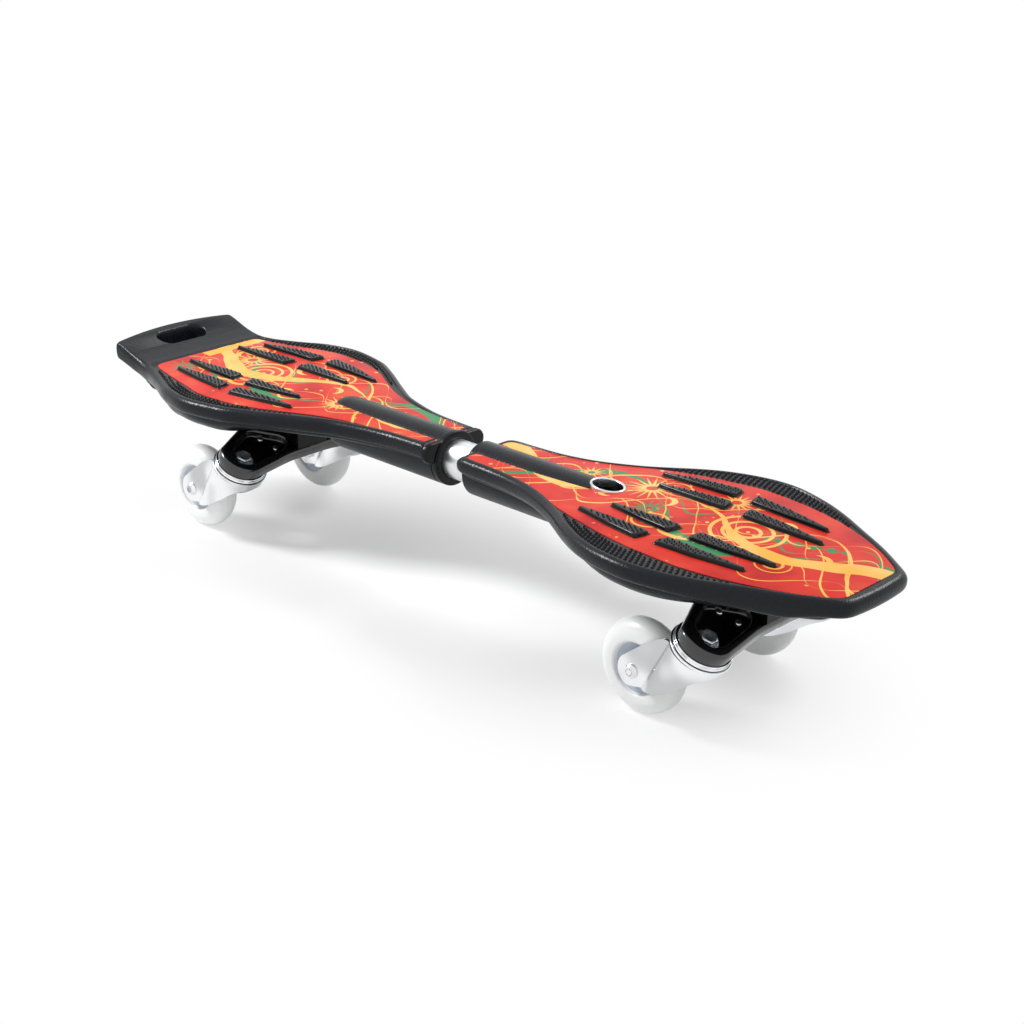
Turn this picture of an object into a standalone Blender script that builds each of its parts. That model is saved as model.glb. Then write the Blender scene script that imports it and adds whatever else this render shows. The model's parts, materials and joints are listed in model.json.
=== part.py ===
"""Caster board: two foot decks joined by a torsion tube, rolling on four inclined casters.

Metres, +Z up, +X towards the nose, +Y to the rider's left. The origin is on the ground
under the middle of the board. The rear deck twists about the tube, each caster turns about
its leaning kingpin, and each wheel rolls on its axle.
"""
import math

import bmesh
import bpy
import numpy as np
from mathutils import Matrix

# Clearances: between pieces that touch, and round a piece that turns in another
GAP = 0.0003
TURN_GAP = 0.0005

# Small edges that a tool leaves, and a cutter's reach past what it cuts
EASE = 0.001

# Wheels and their bearings
WHEEL_RADIUS = 0.038
WHEEL_WIDTH = 0.0245
WHEEL_DISH_RADIUS = 0.0207
WHEEL_HUB_WIDTH = 0.0165
WHEEL_HUB_RADIUS = 0.0150
WHEEL_BORE_RADIUS = 0.0092
BEARING_RADIUS = 0.011
BEARING_WIDTH = 0.007
AXLE_RADIUS = 0.0038
AXLE_HEAD_RADIUS = 0.006
AXLE_HEAD_HEIGHT = 0.0034
AXLE_SOCKET_FLATS = 0.005
AXLE_SOCKET_DEPTH = 0.002
SPACER_WALL = 0.0016
NUT_FLATS = 0.013
AXLE_NUT_HEIGHT = 0.0052

# Casters: where their swivel axes stand and how they lean
CASTER_LEAN = math.radians(28.9)
CASTER_TRACK = 0.138
TRAIL = 0.0305
AXLE_DROP = 0.0533
REAR_CASTER_FROM_NECK = 0.1984
FRONT_CASTER_FROM_NECK = 0.2907

# Fork
FORK_SHEET = 0.0024
FORK_SIDE_GAP = 0.0008
FORK_SKIRT_RADIUS = 0.0233
FORK_END_RADIUS = 0.0135
FORK_SKIRT_EDGE = 0.006
CROWN_RADIUS = 0.0248
CROWN_THICKNESS = 0.003

# Swivel bearing and kingpin
RACE_RADIUS = 0.0230
RACE_THICKNESS = 0.0026
RACE_SPLIT = 0.0020
BALL_RADIUS = 0.0019
BALL_CIRCLE_RADIUS = 0.0165
KINGPIN_RADIUS = 0.0040
KINGPIN_FLANGE_RADIUS = 0.0098
KINGPIN_FLANGE_HEIGHT = 0.0014
KINGPIN_HEAD_HEIGHT = 0.0042
KINGPIN_NUT_HEIGHT = 0.0060
KINGPIN_END = 0.0015

# Brackets and the wedges above them
BRACKET_FLOOR = 0.0025
BRACKET_HEIGHT = 0.0100
BRACKET_LOBE_RADIUS = 0.0217
BRACKET_TRAY_RADIUS = 0.0128
BRACKET_FRONT_MIDDLE = 0.0155
BRACKET_FRONT_HALF = 0.025
BRACKET_REAR = 0.034
BRACKET_REAR_HALF = 0.046
BRACKET_FRONT_CORNER = 0.008
BRACKET_REAR_CORNER = 0.006
BRACKET_EDGE = 0.0024
TRAY_EDGE = 0.0014
TRAY_RIM = 0.0095
TRAY_MIDDLE = 0.019
TRAY_CORNER = 0.006
WEDGE_HALF_WIDTH = 0.017
WEDGE_LEAST = 0.0015

# Torsion tube, its housing and what is inside
TUBE_ABOVE_BRACKET = 0.0132
TUBE_RADIUS = 0.017
TUBE_WALL = 0.0025
TUBE_REAR_DEPTH = 0.118
TUBE_FRONT_DEPTH = 0.119
RIDGE_RADIUS = 0.0227
KEEL_RADIUS = 0.0240
RIDGE_REAR_DEPTH = 0.138
RIDGE_FRONT_DEPTH = 0.150
RIDGE_TAPER = 0.012
BUSH_WALL = 0.0032
NECK_BUSH_LENGTH = 0.030
INNER_BUSH_LENGTH = 0.028
INNER_BUSH_DEPTH = 0.090
COLLAR_RADIUS = 0.0240
COLLAR_LENGTH = 0.0036
CAP_THICKNESS = 0.0083
CAP_HALF_WIDTH = 0.0350
CAP_HEIGHT = 0.0180
TORSION_BAR_RADIUS = 0.0052
BAR_HEAD_LENGTH = 0.014
BAR_HEAD_DEPTH = 0.105
ANCHOR_RADIUS = 0.0135
ANCHOR_LENGTH = 0.020

# Window in the front ridge
WINDOW_FROM_NECK = 0.138
WINDOW_HALF_LENGTH = 0.0155
WINDOW_HALF_WIDTH = 0.0125
BEZEL_WALL = 0.0020
BEZEL_PROUD = 0.0012
BEZEL_DEPTH = 0.0085

# Decks
NECK_SPLIT = 0.037
REAR_DECK_LENGTH = 0.388
FRONT_DECK_LENGTH = 0.395
DECK_HALF_WIDTH = 0.1085
DECK_THICKNESS = 0.0125
DECK_ABOVE_TUBE = 0.018
DECK_EDGE = 0.0055
DECK_LOWER_EDGE = 0.0030
NECK_CORNER = 0.007
TAIL_CORNER = 0.005
TAIL_BULGE = 0.0095
NOSE_CORNER = 0.009
NOSE_BULGE = 0.0035
SHELL_INSET = 0.0085
SHELL_CURL = 0.016
SHELL_BESIDE_KEEL = 0.0015
SHELL_REAR_LENGTH = 0.353
SHELL_FRONT_LENGTH = 0.376
TAIL_RIBS = 5
TAIL_RIBS_FROM_NECK = 0.316
TAIL_RIB_PITCH = 0.0085
TAIL_RIB_WIDTH = 0.0050
TAIL_RIB_INSET = 0.0050
TAIL_RIB_CORNER = 0.0012
TAIL_RIB_DEPTH = 0.0115
TAIL_RIB_LAST_DEPTH = 0.0060
SLOT_LENGTH = 0.052
SLOT_WIDTH = 0.021
SLOT_FROM_TAIL = 0.0205
SLOT_COLLAR_WALL = 0.0019
SLOT_COLLAR_DEPTH = 0.0110

# Decals and grip pads
DECAL_RECESS = 0.0006
DECAL_THICKNESS = 0.0006
DECAL_CORNER = 0.004
REAR_DECAL_START = 0.002
REAR_DECAL_END = 0.330
FRONT_DECAL_START = 0.005
FRONT_DECAL_END = 0.384
REAR_FOOT_FROM_NECK = 0.229
FRONT_FOOT_FROM_NECK = 0.234
PAD_HEIGHT = 0.0036
PAD_DRAFT = 0.0012
PAD_BOW = 0.0012
PAD_TIP = 0.0012

# Curves of each deck along its length. The first number is the share of the deck's length
# from its neck, and the second is a share of the deck's half width, or metres.
REAR_OUTLINE = (
    (0.0, 0.300), (0.10, 0.320), (0.24, 0.437), (0.33, 0.603), (0.41, 0.768), (0.49, 0.902),
    (0.60, 0.968), (0.68, 0.915), (0.776, 0.757), (0.85, 0.640), (0.90, 0.606), (0.965, 0.603),
)
FRONT_OUTLINE = (
    (0.0, 0.315), (0.12, 0.337), (0.21, 0.395), (0.316, 0.555), (0.37, 0.675), (0.423, 0.800),
    (0.486, 0.915), (0.557, 0.985), (0.61, 1.0), (0.69, 0.945), (0.767, 0.832), (0.82, 0.727),
    (0.90, 0.573), (0.985, 0.367),
)
REAR_DECAL_OUTLINE = (
    (0.0, 0.213), (0.10, 0.258), (0.20, 0.305), (0.29, 0.400), (0.36, 0.525), (0.44, 0.675),
    (0.515, 0.747), (0.60, 0.765), (0.68, 0.705), (0.76, 0.630), (0.853, 0.545),
)
FRONT_DECAL_OUTLINE = (
    (0.0, 0.250), (0.08, 0.265), (0.20, 0.330), (0.27, 0.405), (0.335, 0.520), (0.41, 0.613),
    (0.50, 0.697), (0.60, 0.747), (0.68, 0.740), (0.75, 0.700), (0.82, 0.622), (0.90, 0.490),
    (0.975, 0.300),
)
REAR_RISE = (
    (0.0, 0.0), (0.15, 0.0), (0.30, 0.0008), (0.48, 0.0022), (0.66, 0.0022), (0.74, 0.0014),
    (0.80, 0.0012), (0.845, 0.0018), (0.90, 0.0058), (0.95, 0.0115), (1.0, 0.0165),
)
FRONT_RISE = (
    (0.0, 0.0), (0.15, 0.0002), (0.30, 0.0014), (0.46, 0.0031), (0.56, 0.0031), (0.70, 0.0012),
    (0.80, -0.0003), (1.0, -0.0045),
)
REAR_BELLY = (
    (0.0, 0.0090), (0.20, 0.0085), (0.38, 0.0085), (0.46, 0.0100), (0.51, 0.0130),
    (0.57, 0.0185), (0.64, 0.0205), (0.70, 0.0180), (0.76, 0.0145), (0.80, 0.0120),
    (0.815, 0.0080), (0.855, 0.0070), (0.895, 0.0060), (0.912, 0.0015), (0.94, 0.0010),
)
FRONT_BELLY = (
    (0.0, 0.0090), (0.20, 0.0080), (0.33, 0.0080), (0.40, 0.0095), (0.46, 0.0125),
    (0.52, 0.0165), (0.585, 0.0192), (0.66, 0.0178), (0.71, 0.0135), (0.75, 0.0085),
    (0.79, 0.0035), (0.86, 0.0025), (1.0, 0.0022),
)

# Grip pads of one side of one foot: the pointed end, then the two corners of the blunt end,
# each as metres past the foot's middle, away from the neck, and metres from the centre line
PADS = (
    ((0.077, 0.0510), (0.003, 0.0625), (0.006, 0.0495)),
    ((0.088, 0.0285), (0.015, 0.0378), (0.017, 0.0245)),
    ((-0.081, 0.0500), (-0.013, 0.0650), (-0.0105, 0.0515)),
    ((-0.067, 0.0280), (-0.0035, 0.0390), (-0.001, 0.0255)),
)

# Facets
OUTLINE_STEP = 0.018
STATION_SPACE = 0.0008
CORNER_STEPS = 3
WHEEL_SIDES = 24
RING_SIDES = 18
SMALL_SIDES = 10
TUBE_SIDES = 20

# Heights and places worked out from the sizes above
DOWN_AXIS = math.cos(CASTER_LEAN)
ALONG_AXIS = math.sin(CASTER_LEAN)
RACE_BOTTOM = RACE_SPLIT
RACE_TOP = RACE_BOTTOM + RACE_THICKNESS
BRACKET_BOTTOM = RACE_TOP + GAP
BRACKET_FLOOR_TOP = BRACKET_BOTTOM + BRACKET_FLOOR
BRACKET_TOP = BRACKET_BOTTOM + BRACKET_HEIGHT
SWIVEL_HEIGHT = WHEEL_RADIUS + AXLE_DROP * DOWN_AXIS - TRAIL * ALONG_AXIS
BRACKET_PEAK = SWIVEL_HEIGHT + BRACKET_REAR * ALONG_AXIS + BRACKET_TOP * DOWN_AXIS
TUBE_HEIGHT = BRACKET_PEAK + TUBE_ABOVE_BRACKET
DECK_HEIGHT = TUBE_HEIGHT + DECK_ABOVE_TUBE
BOARD_LENGTH = REAR_DECK_LENGTH + NECK_SPLIT + FRONT_DECK_LENGTH
REAR_NECK_X = REAR_DECK_LENGTH - BOARD_LENGTH / 2
FRONT_NECK_X = REAR_NECK_X + NECK_SPLIT
REAR_CASTER_X = REAR_NECK_X - REAR_CASTER_FROM_NECK
FRONT_CASTER_X = FRONT_NECK_X + FRONT_CASTER_FROM_NECK
WHEEL_HALF = WHEEL_WIDTH / 2
FORK_INNER_HALF = WHEEL_HALF + FORK_SIDE_GAP
FORK_OUTER_HALF = FORK_INNER_HALF + FORK_SHEET
BEARING_OUTER_FACE = FORK_INNER_HALF - GAP
BEARING_INNER_FACE = BEARING_OUTER_FACE - BEARING_WIDTH
BORE_RADIUS = TUBE_RADIUS + GAP
BUSH_RADIUS = BORE_RADIUS + BUSH_WALL
SEAT_RADIUS = BUSH_RADIUS + GAP
TUBE_START_X = REAR_NECK_X - TUBE_REAR_DEPTH
TUBE_END_X = FRONT_NECK_X + TUBE_FRONT_DEPTH
WINDOW_X = FRONT_NECK_X + WINDOW_FROM_NECK

PARTS = None
CUTTERS = None


def clear_scene():
    for item in list(bpy.data.objects):
        bpy.data.objects.remove(item, do_unlink=True)


def new_collection(name):
    collection = bpy.data.collections.new(name)
    bpy.context.scene.collection.children.link(collection)
    return collection


def material(name, colour, roughness, metallic=0.0):
    """A Principled material of one plain colour."""
    made = bpy.data.materials.new(name)
    made.use_nodes = True
    shader = made.node_tree.nodes["Principled BSDF"]
    shader.inputs["Base Color"].default_value = (*colour, 1.0)
    shader.inputs["Roughness"].default_value = roughness
    shader.inputs["Metallic"].default_value = metallic
    return made


def add_object(name, mesh, finish=None):
    """Links an object for a mesh: a part where it has a finish, and else a cutter."""
    made = bpy.data.objects.new(name, mesh)
    if finish is None:
        CUTTERS.objects.link(made)
        made.hide_render = True
        made.display_type = "WIRE"
        return made
    if not mesh.materials:
        mesh.materials.append(finish)
    PARTS.objects.link(made)
    return made


def mesh_from(name, points, faces):
    """A mesh with its faces pointing out."""
    mesh = bpy.data.meshes.new(name)
    mesh.from_pydata([tuple(point) for point in points], [], faces)
    work = bmesh.new()
    work.from_mesh(mesh)
    bmesh.ops.recalc_face_normals(work, faces=work.faces)
    work.to_mesh(mesh)
    work.free()
    mesh.update()
    return mesh


def smooth_edges(mesh, angle=math.radians(35)):
    """Shades round surfaces smooth and keeps real edges sharp."""
    mesh.shade_smooth()
    mesh.set_sharp_from_angle(angle=angle)


def join_cut(target, other, operation):
    """Adds an exact Boolean of another object to a target."""
    step = target.modifiers.new(other.name, "BOOLEAN")
    step.operation = operation
    step.solver = "EXACT"
    step.object = other


def baked(source, used=()):
    """The evaluated mesh of an object, which is then removed with the ones it used."""
    bpy.context.view_layer.update()
    evaluated = source.evaluated_get(bpy.context.evaluated_depsgraph_get())
    mesh = bpy.data.meshes.new_from_object(evaluated)
    mesh.name = source.name
    for item in (source, *used):
        bpy.data.objects.remove(item, do_unlink=True)
    smooth_edges(mesh)
    return mesh


def smooth_curve(points):
    """A function through the points that turns only where they do."""
    xs, ys = np.array(points, float).T
    rises = np.diff(ys) / np.diff(xs)
    slopes = np.zeros(len(xs))
    steady = np.flatnonzero(rises[:-1] * rises[1:] > 0)
    slopes[steady + 1] = 2 / (1 / rises[steady] + 1 / rises[steady + 1])
    slopes[0] = rises[0]
    slopes[-1] = rises[-1]

    def value(at):
        place = np.clip(np.searchsorted(xs, at) - 1, 0, len(xs) - 2)
        width = xs[place + 1] - xs[place]
        t = np.clip((at - xs[place]) / width, 0, 1)
        start = (1 + 2 * t) * (1 - t) ** 2 * ys[place] + t * (1 - t) ** 2 * width * slopes[place]
        end = t * t * (3 - 2 * t) * ys[place + 1] + t * t * (t - 1) * width * slopes[place + 1]
        return start + end

    return value


def arc(centre, radius, start, end, steps):
    """Points round part of a circle, its ends included."""
    turns = np.linspace(start, end, steps + 1)
    return [(centre[0] + radius * math.cos(t), centre[1] + radius * math.sin(t)) for t in turns]


def ellipse(centre, half_length, half_width, sides):
    turns = np.linspace(0, 2 * math.pi, sides, endpoint=False)
    return np.column_stack([centre[0] + half_length * np.cos(turns),
                            centre[1] + half_width * np.sin(turns)])


def rounded(before, corner, after, steps=CORNER_STEPS):
    """A corner rounded from one point to another, as a parabola that the corner pulls."""
    before, corner, after = (np.array(point, float) for point in (before, corner, after))
    shares = np.linspace(0, 1, steps + 1)
    return [tuple((1 - t) ** 2 * before + 2 * t * (1 - t) * corner + t * t * after) for t in shares]


def inward(loop):
    """Unit vectors square to a closed outline, towards its inside."""
    along = np.roll(loop, -1, axis=0) - np.roll(loop, 1, axis=0)
    along /= np.linalg.norm(along, axis=1)[:, None]
    after = np.roll(loop, -1, axis=0)
    area = np.sum(loop[:, 0] * after[:, 1] - loop[:, 1] * after[:, 0])
    side = 1.0 if area > 0 else -1.0
    return np.column_stack([-along[:, 1], along[:, 0]]) * side


def stack_rings(rings, caps):
    """Points and faces of a closed body through rings of equal count, with caps given as faces."""
    count = len(rings[0])
    faces = []
    for level in range(len(rings) - 1):
        base = level * count
        for i in range(count):
            j = (i + 1) % count
            faces.append((base + i, base + j, base + count + j, base + count + i))
    last = (len(rings) - 1) * count
    faces += list(caps)
    faces += [tuple(index + last for index in cap) for cap in caps]
    return np.vstack(rings), faces


def mirrored_solid(name, half, levels, draw_in=None):
    """A body with an outline mirrored in y, whose top and bottom may curve along x.

    half holds (x, y) points round the left side. Each level is an inset from the outline and
    a function that gives the height at x. The caps run across from side to side. draw_in
    moves the outline in by an inset, and otherwise it goes in square to itself.
    """
    left = np.array(half, float)
    count = len(left)
    right = left[::-1] * (1, -1)
    if left[-1, 1] == 0:
        right = right[1:]
    if left[0, 1] == 0:
        right = right[:-1]
    loop = np.vstack([left, right])
    total = len(loop)
    span = 2 * count - (2 if left[-1, 1] == 0 else 1)
    normals = inward(loop)
    rings = []
    for inset, height in levels:
        flat = draw_in(loop, inset) if draw_in else loop + inset * normals
        rings.append(np.column_stack([flat, height(flat[:, 0])]))
    caps = []
    for i in range(count - 1):
        corners = (i, i + 1, (span - i - 1) % total, (span - i) % total)
        caps.append(tuple(dict.fromkeys(corners)))
    return mesh_from(name, *stack_rings(rings, caps))


def flat_solid(name, outline, levels):
    """A body over a flat closed outline; each level is an inset and a height or heights."""
    loop = np.array(outline, float)
    normals = inward(loop)
    rings = []
    for inset, height in levels:
        heights = np.broadcast_to(height, len(loop))
        rings.append(np.column_stack([loop + inset * normals, heights]))
    return mesh_from(name, *stack_rings(rings, [tuple(range(len(loop)))]))


def along_y(mesh):
    """Turns a mesh drawn as (x, z, y) the right way: its height becomes y."""
    mesh.transform(Matrix(((1, 0, 0, 0), (0, 0, 1, 0), (0, 1, 0, 0), (0, 0, 0, 1))))
    mesh.flip_normals()
    return mesh


def turned_mesh(name, profile, sides, ring=True):
    """A profile of (radius, height) turned round Z, its outer side running downwards first."""
    mesh = bpy.data.meshes.new(name)
    count = len(profile)
    edges = [(i, i + 1) for i in range(count - 1)]
    if ring:
        edges.append((count - 1, 0))
    mesh.from_pydata([(radius, 0, height) for radius, height in profile], edges, [])
    source = add_object(name, mesh)
    screw = source.modifiers.new("turn", "SCREW")
    screw.steps = sides
    screw.render_steps = sides
    screw.use_merge_vertices = True
    screw.merge_threshold = 0.00001
    return baked(source)


def lying(mesh, way="X"):
    """Lays a mesh turned round Z along X or Y."""
    turn = Matrix.Rotation(math.pi / 2, 4, "Y" if way == "X" else "X")
    mesh.transform(turn)
    return mesh


def sleeve_profile(outer, inner, low, high):
    return [(outer, high), (outer, low), (inner, low), (inner, high)]


def hex_solid(name, flats, low, high):
    corners = arc((0, 0), flats / 2 / math.cos(math.pi / 6), 0, 2 * math.pi, 6)[:-1]
    return flat_solid(name, corners, [(0, low), (0, high)])


def moved(mesh, x=0.0, y=0.0, z=0.0):
    mesh.transform(Matrix.Translation((x, y, z)))
    return mesh


def united(name, first, second):
    """One mesh from two that overlap."""
    target = add_object(name, first)
    other = add_object(name + "_other", second)
    join_cut(target, other, "UNION")
    return baked(target, [other])


def without(name, mesh, *cutters):
    """A mesh with others cut from it."""
    target = add_object(name, mesh)
    others = [add_object(f"{name}_cut_{i}", cutter) for i, cutter in enumerate(cutters)]
    for other in others:
        join_cut(target, other, "DIFFERENCE")
    return baked(target, others)


def over_bracket(caster_x, forward):
    """A place (x, height) a gap above a bracket's rim, at a distance forward of its casters."""
    lift = BRACKET_TOP + GAP
    return (caster_x + forward * DOWN_AXIS + lift * ALONG_AXIS,
            SWIVEL_HEIGHT - forward * ALONG_AXIS + lift * DOWN_AXIS)


class Half:
    """One foot deck: where its neck is, which way it runs and its curves along that way."""

    def __init__(self, name, neck_x, way, length, shell_length, caster_x, foot, outline, decal, rise,
                 belly):
        self.name = name
        self.neck_x = neck_x
        self.way = way
        self.length = length
        self.shell_length = shell_length
        self.caster_x = caster_x
        self.foot = foot
        self.stations = np.linspace(0, length, round(length / OUTLINE_STEP) + 1)
        self.outline_share = smooth_curve(outline)
        self.decal_share = smooth_curve(decal)
        self.rise_at = smooth_curve(rise)
        self.belly_at = smooth_curve(belly)

    def share(self, x):
        return (x - self.neck_x) * self.way / self.length

    def x(self, distance):
        return self.neck_x + self.way * distance

    def half_width(self, distance):
        return DECK_HALF_WIDTH * self.outline_share(distance / self.length)

    def shell_half_width(self, distance):
        """Inside the deck's edge, but never so narrow that the keel shows beside the shell."""
        return np.maximum(self.half_width(distance) - SHELL_INSET, KEEL_RADIUS + SHELL_BESIDE_KEEL)

    def decal_half_width(self, distance):
        return DECK_HALF_WIDTH * self.decal_share(distance / self.length)

    def top(self, x):
        return DECK_HEIGHT + self.rise_at(self.share(x))

    def parting(self, x):
        return self.top(x) - DECK_THICKNESS

    def belly(self, x, share=1.0):
        """Height of the shell's underside, which always leaves room for a wedge on the bracket."""
        free = self.parting(x) - GAP - share * self.belly_at(self.share(x))
        rear = over_bracket(self.caster_x, -BRACKET_REAR)
        front = over_bracket(self.caster_x, BRACKET_FRONT_MIDDLE)
        lowest = np.interp(x, (rear[0], front[0]), (rear[1], front[1])) + WEDGE_LEAST
        away = (x < rear[0] - OUTLINE_STEP) | (x > front[0] + OUTLINE_STEP)
        return np.where(away, free, np.maximum(free, lowest))

    def shell_outline(self):
        return self.outline(0, self.shell_length, self.shell_half_width, 0, NECK_CORNER, NOSE_CORNER)

    def belly_line(self, x):
        """Height of the belly's facets, which are straight between the outline's points."""
        stations = np.unique([x for x, _ in self.shell_outline()])
        return np.interp(x, stations, self.belly(stations))

    def outline(self, start, end, width, bulge, start_corner, end_corner):
        """Points round the left side between two distances from the neck, corners rounded."""
        low, high = width(start), width(end - bulge)
        points = rounded((start, low - start_corner), (start, low),
                         (start + start_corner, width(start + start_corner)))
        last = end - bulge - end_corner
        for distance in self.stations:
            if start + start_corner + STATION_SPACE < distance < last - STATION_SPACE:
                points.append((distance, width(distance)))

        def end_at(y):
            return end - bulge * (y / high) ** 2

        points += rounded((last, width(last)), (end - bulge, high),
                          (end_at(high - end_corner), high - end_corner))
        if bulge > 0:
            across = np.linspace(high - end_corner, 0, 5)[1:]
            points += [(end_at(y), y) for y in across]
        return [(self.x(distance), y) for distance, y in points]


def deck_mesh(half, bulge, corner):
    """The deck's slab, with its edge rounded above and below."""
    outline = half.outline(0, half.length, half.half_width, bulge, NECK_CORNER, corner)
    levels = []
    for turn in (0, 45, 90):
        over = math.sin(math.radians(turn))
        down = 1 - math.cos(math.radians(turn))
        levels.append((DECK_EDGE * (1 - over), DECK_EDGE * down))
    lower_edge = DECK_THICKNESS - DECK_EDGE
    for turn in (40, 90):
        over = 1 - math.cos(math.radians(turn))
        down = math.sin(math.radians(turn))
        levels.append((DECK_LOWER_EDGE * over, DECK_EDGE + lower_edge * down))
    levels = [(inset, lambda x, drop=drop: half.top(x) - drop) for inset, drop in levels]
    return mirrored_solid(half.name + "_deck", outline, levels)


def shell_mesh(half):
    """The lower shell: flat against the deck, its sides curling in to the belly."""
    def draw_in(loop, inset):
        widths = half.shell_half_width(half.share(loop[:, 0]) * half.length)
        return loop * np.column_stack([np.ones(len(loop)), 1 - inset / widths])

    curl = ((0, 0), (0.12, 0.50), (0.44, 0.88), (1.0, 1.0))
    levels = [(SHELL_CURL * inset, lambda x, share=share: half.belly(x, share)) for inset, share in curl]
    return mirrored_solid(half.name + "_lower_shell", half.shell_outline(), levels, draw_in)


def housing_mesh(half, radius, depth, upper, sides=10):
    """Half a round housing along the tube, whose far end runs down into the deck or shell."""
    side = 1 if upper else -1
    base = DECK_ABOVE_TUBE - DECK_THICKNESS * (0.7 if upper else 1.25)
    shares = np.linspace(0, math.pi / 2, 4)[1:]
    stations = [(0, radius)] + [(depth - RIDGE_TAPER + RIDGE_TAPER * math.sin(t),
                                 radius - 0.45 * radius * (1 - math.cos(t))) for t in shares]
    stations.insert(1, (depth - RIDGE_TAPER, radius))
    rings = []
    for distance, reach in stations:
        foot = math.asin(min(0.98, max(base * side, -0.9 * reach) / reach))
        turns = np.linspace(foot, math.pi - foot, sides + 1)
        ys = reach * np.cos(turns)
        zs = TUBE_HEIGHT + side * reach * np.sin(turns)
        rings.append(np.column_stack([np.full(len(ys), half.x(distance)), ys, zs]))
    return mesh_from(half.name + "_housing", *stack_rings(rings, [tuple(range(sides + 1))]))


def bore_mesh(name, steps):
    """A stepped cutter along the tube's axis, from (x, radius) steps that run towards +X."""
    profile = [(0, steps[-1][0])]
    for (start, radius), (end, _) in zip(steps[-2::-1], steps[:0:-1]):
        profile += [(radius, end), (radius, start)]
    profile.append((0, steps[0][0]))
    return moved(lying(turned_mesh(name, profile, TUBE_SIDES, ring=False)), z=TUBE_HEIGHT)


def pad_outline(half, pad, side, grow=0.0):
    """One grip pad seen from above: a leaf with a pointed end and a blunt one."""
    tip, outer, inner = (np.array(point) for point in pad)
    outer_middle = (tip + outer) / 2 + (0, PAD_BOW)
    inner_middle = (tip + inner) / 2 - (0, PAD_BOW / 2)
    tip_width = np.array((0, PAD_TIP))
    loop = np.array([tip + tip_width, outer_middle, outer, inner, inner_middle, tip - tip_width])
    loop = loop - grow * inward(loop)
    return np.column_stack([half.x(half.foot + loop[:, 0]), side * loop[:, 1]])


def pad_mesh(half, pad, side, grow=0.0, draft=PAD_DRAFT, height=PAD_HEIGHT):
    loop = pad_outline(half, pad, side, grow)
    tops = half.top(loop[:, 0])
    return flat_solid(half.name + "_pad", loop, [(0, tops - DECK_THICKNESS * 0.4),
                                                (0, tops + height * 0.4), (draft, tops + height)])


def decal_mesh(half, start, end, low, high, grow=0.0):
    """The printed sheet, or with a growth the shallow recess that it lies in."""
    outline = half.outline(start - grow, end + grow, lambda s: half.decal_half_width(s) + grow, 0,
                           DECAL_CORNER, DECAL_CORNER)
    return mirrored_solid(half.name + "_decal", outline, [(0, lambda x: half.top(x) + high),
                                                         (0, lambda x: half.top(x) + low)])


def window_mesh(name, grow, low, high):
    loop = ellipse((WINDOW_X, 0), WINDOW_HALF_LENGTH + grow, WINDOW_HALF_WIDTH + grow, RING_SIDES)
    return flat_solid(name, loop, [(0, low), (0, high)])


def slot_mesh(name, slot_x, grow, low, high):
    """The grab slot across the tail, or a block round it that is grown by a wall."""
    inner = (SLOT_LENGTH - SLOT_WIDTH) / 2
    loop = arc((slot_x, inner), SLOT_WIDTH / 2 + grow, 0, math.pi, 8)
    loop += arc((slot_x, -inner), SLOT_WIDTH / 2 + grow, math.pi, 2 * math.pi, 8)
    return flat_solid(name, loop, [(0, low), (0, high)])


def make_deck(half, finish, bulge, corner, ridge_depth, decal_start, decal_end):
    """A deck with its ridge, decal recess and grip pads."""
    deck = add_object(half.name + "_deck", deck_mesh(half, bulge, corner), finish)
    ridge = add_object(half.name + "_ridge", housing_mesh(half, RIDGE_RADIUS, ridge_depth, True))
    recess = add_object(half.name + "_decal_recess",
                        decal_mesh(half, decal_start, decal_end, -DECAL_RECESS, DECK_EDGE, GAP))
    join_cut(deck, recess, "DIFFERENCE")
    join_cut(deck, ridge, "UNION")
    for side in (1, -1):
        for number, pad in enumerate(PADS):
            block = add_object(f"{half.name}_pad_{number}_{side}", pad_mesh(half, pad, side))
            join_cut(deck, block, "UNION")
    return deck


def make_decal(half, finish, start, end, ridge_depth):
    """A decal with holes for the pads and the ridge."""
    low = GAP - DECAL_RECESS
    sheet = add_object(half.name + "_decal",
                       decal_mesh(half, start, end, low, low + DECAL_THICKNESS), finish)
    ridge = add_object(half.name + "_decal_ridge_cut",
                       housing_mesh(half, RIDGE_RADIUS + GAP, ridge_depth + GAP, True))
    join_cut(sheet, ridge, "DIFFERENCE")
    for side in (1, -1):
        for number, pad in enumerate(PADS):
            block = pad_mesh(half, pad, side, GAP, 0, PAD_HEIGHT)
            join_cut(sheet, add_object(f"{half.name}_decal_cut_{number}_{side}", block), "DIFFERENCE")
    return sheet


def make_shell(half, finish, keel_depth):
    shell = add_object(half.name + "_lower_shell", shell_mesh(half), finish)
    keel = add_object(half.name + "_keel", housing_mesh(half, KEEL_RADIUS, keel_depth, False))
    join_cut(shell, keel, "UNION")
    return shell


def tail_rib_mesh(half, number):
    """One of the ribs across the tail's underside, which get shallower towards its end."""
    start = TAIL_RIBS_FROM_NECK + number * TAIL_RIB_PITCH
    depth = np.interp(number, (0, TAIL_RIBS - 1), (TAIL_RIB_DEPTH, TAIL_RIB_LAST_DEPTH))
    outline = half.outline(start, start + TAIL_RIB_WIDTH, lambda s: half.half_width(s) - TAIL_RIB_INSET,
                           0, TAIL_RIB_CORNER, TAIL_RIB_CORNER)
    return mirrored_solid(f"tail_rib_{number}", outline, [(0, lambda x: half.belly(x, 0) - EASE),
                                                          (0, lambda x: half.belly(x, 0) - depth)])


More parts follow.
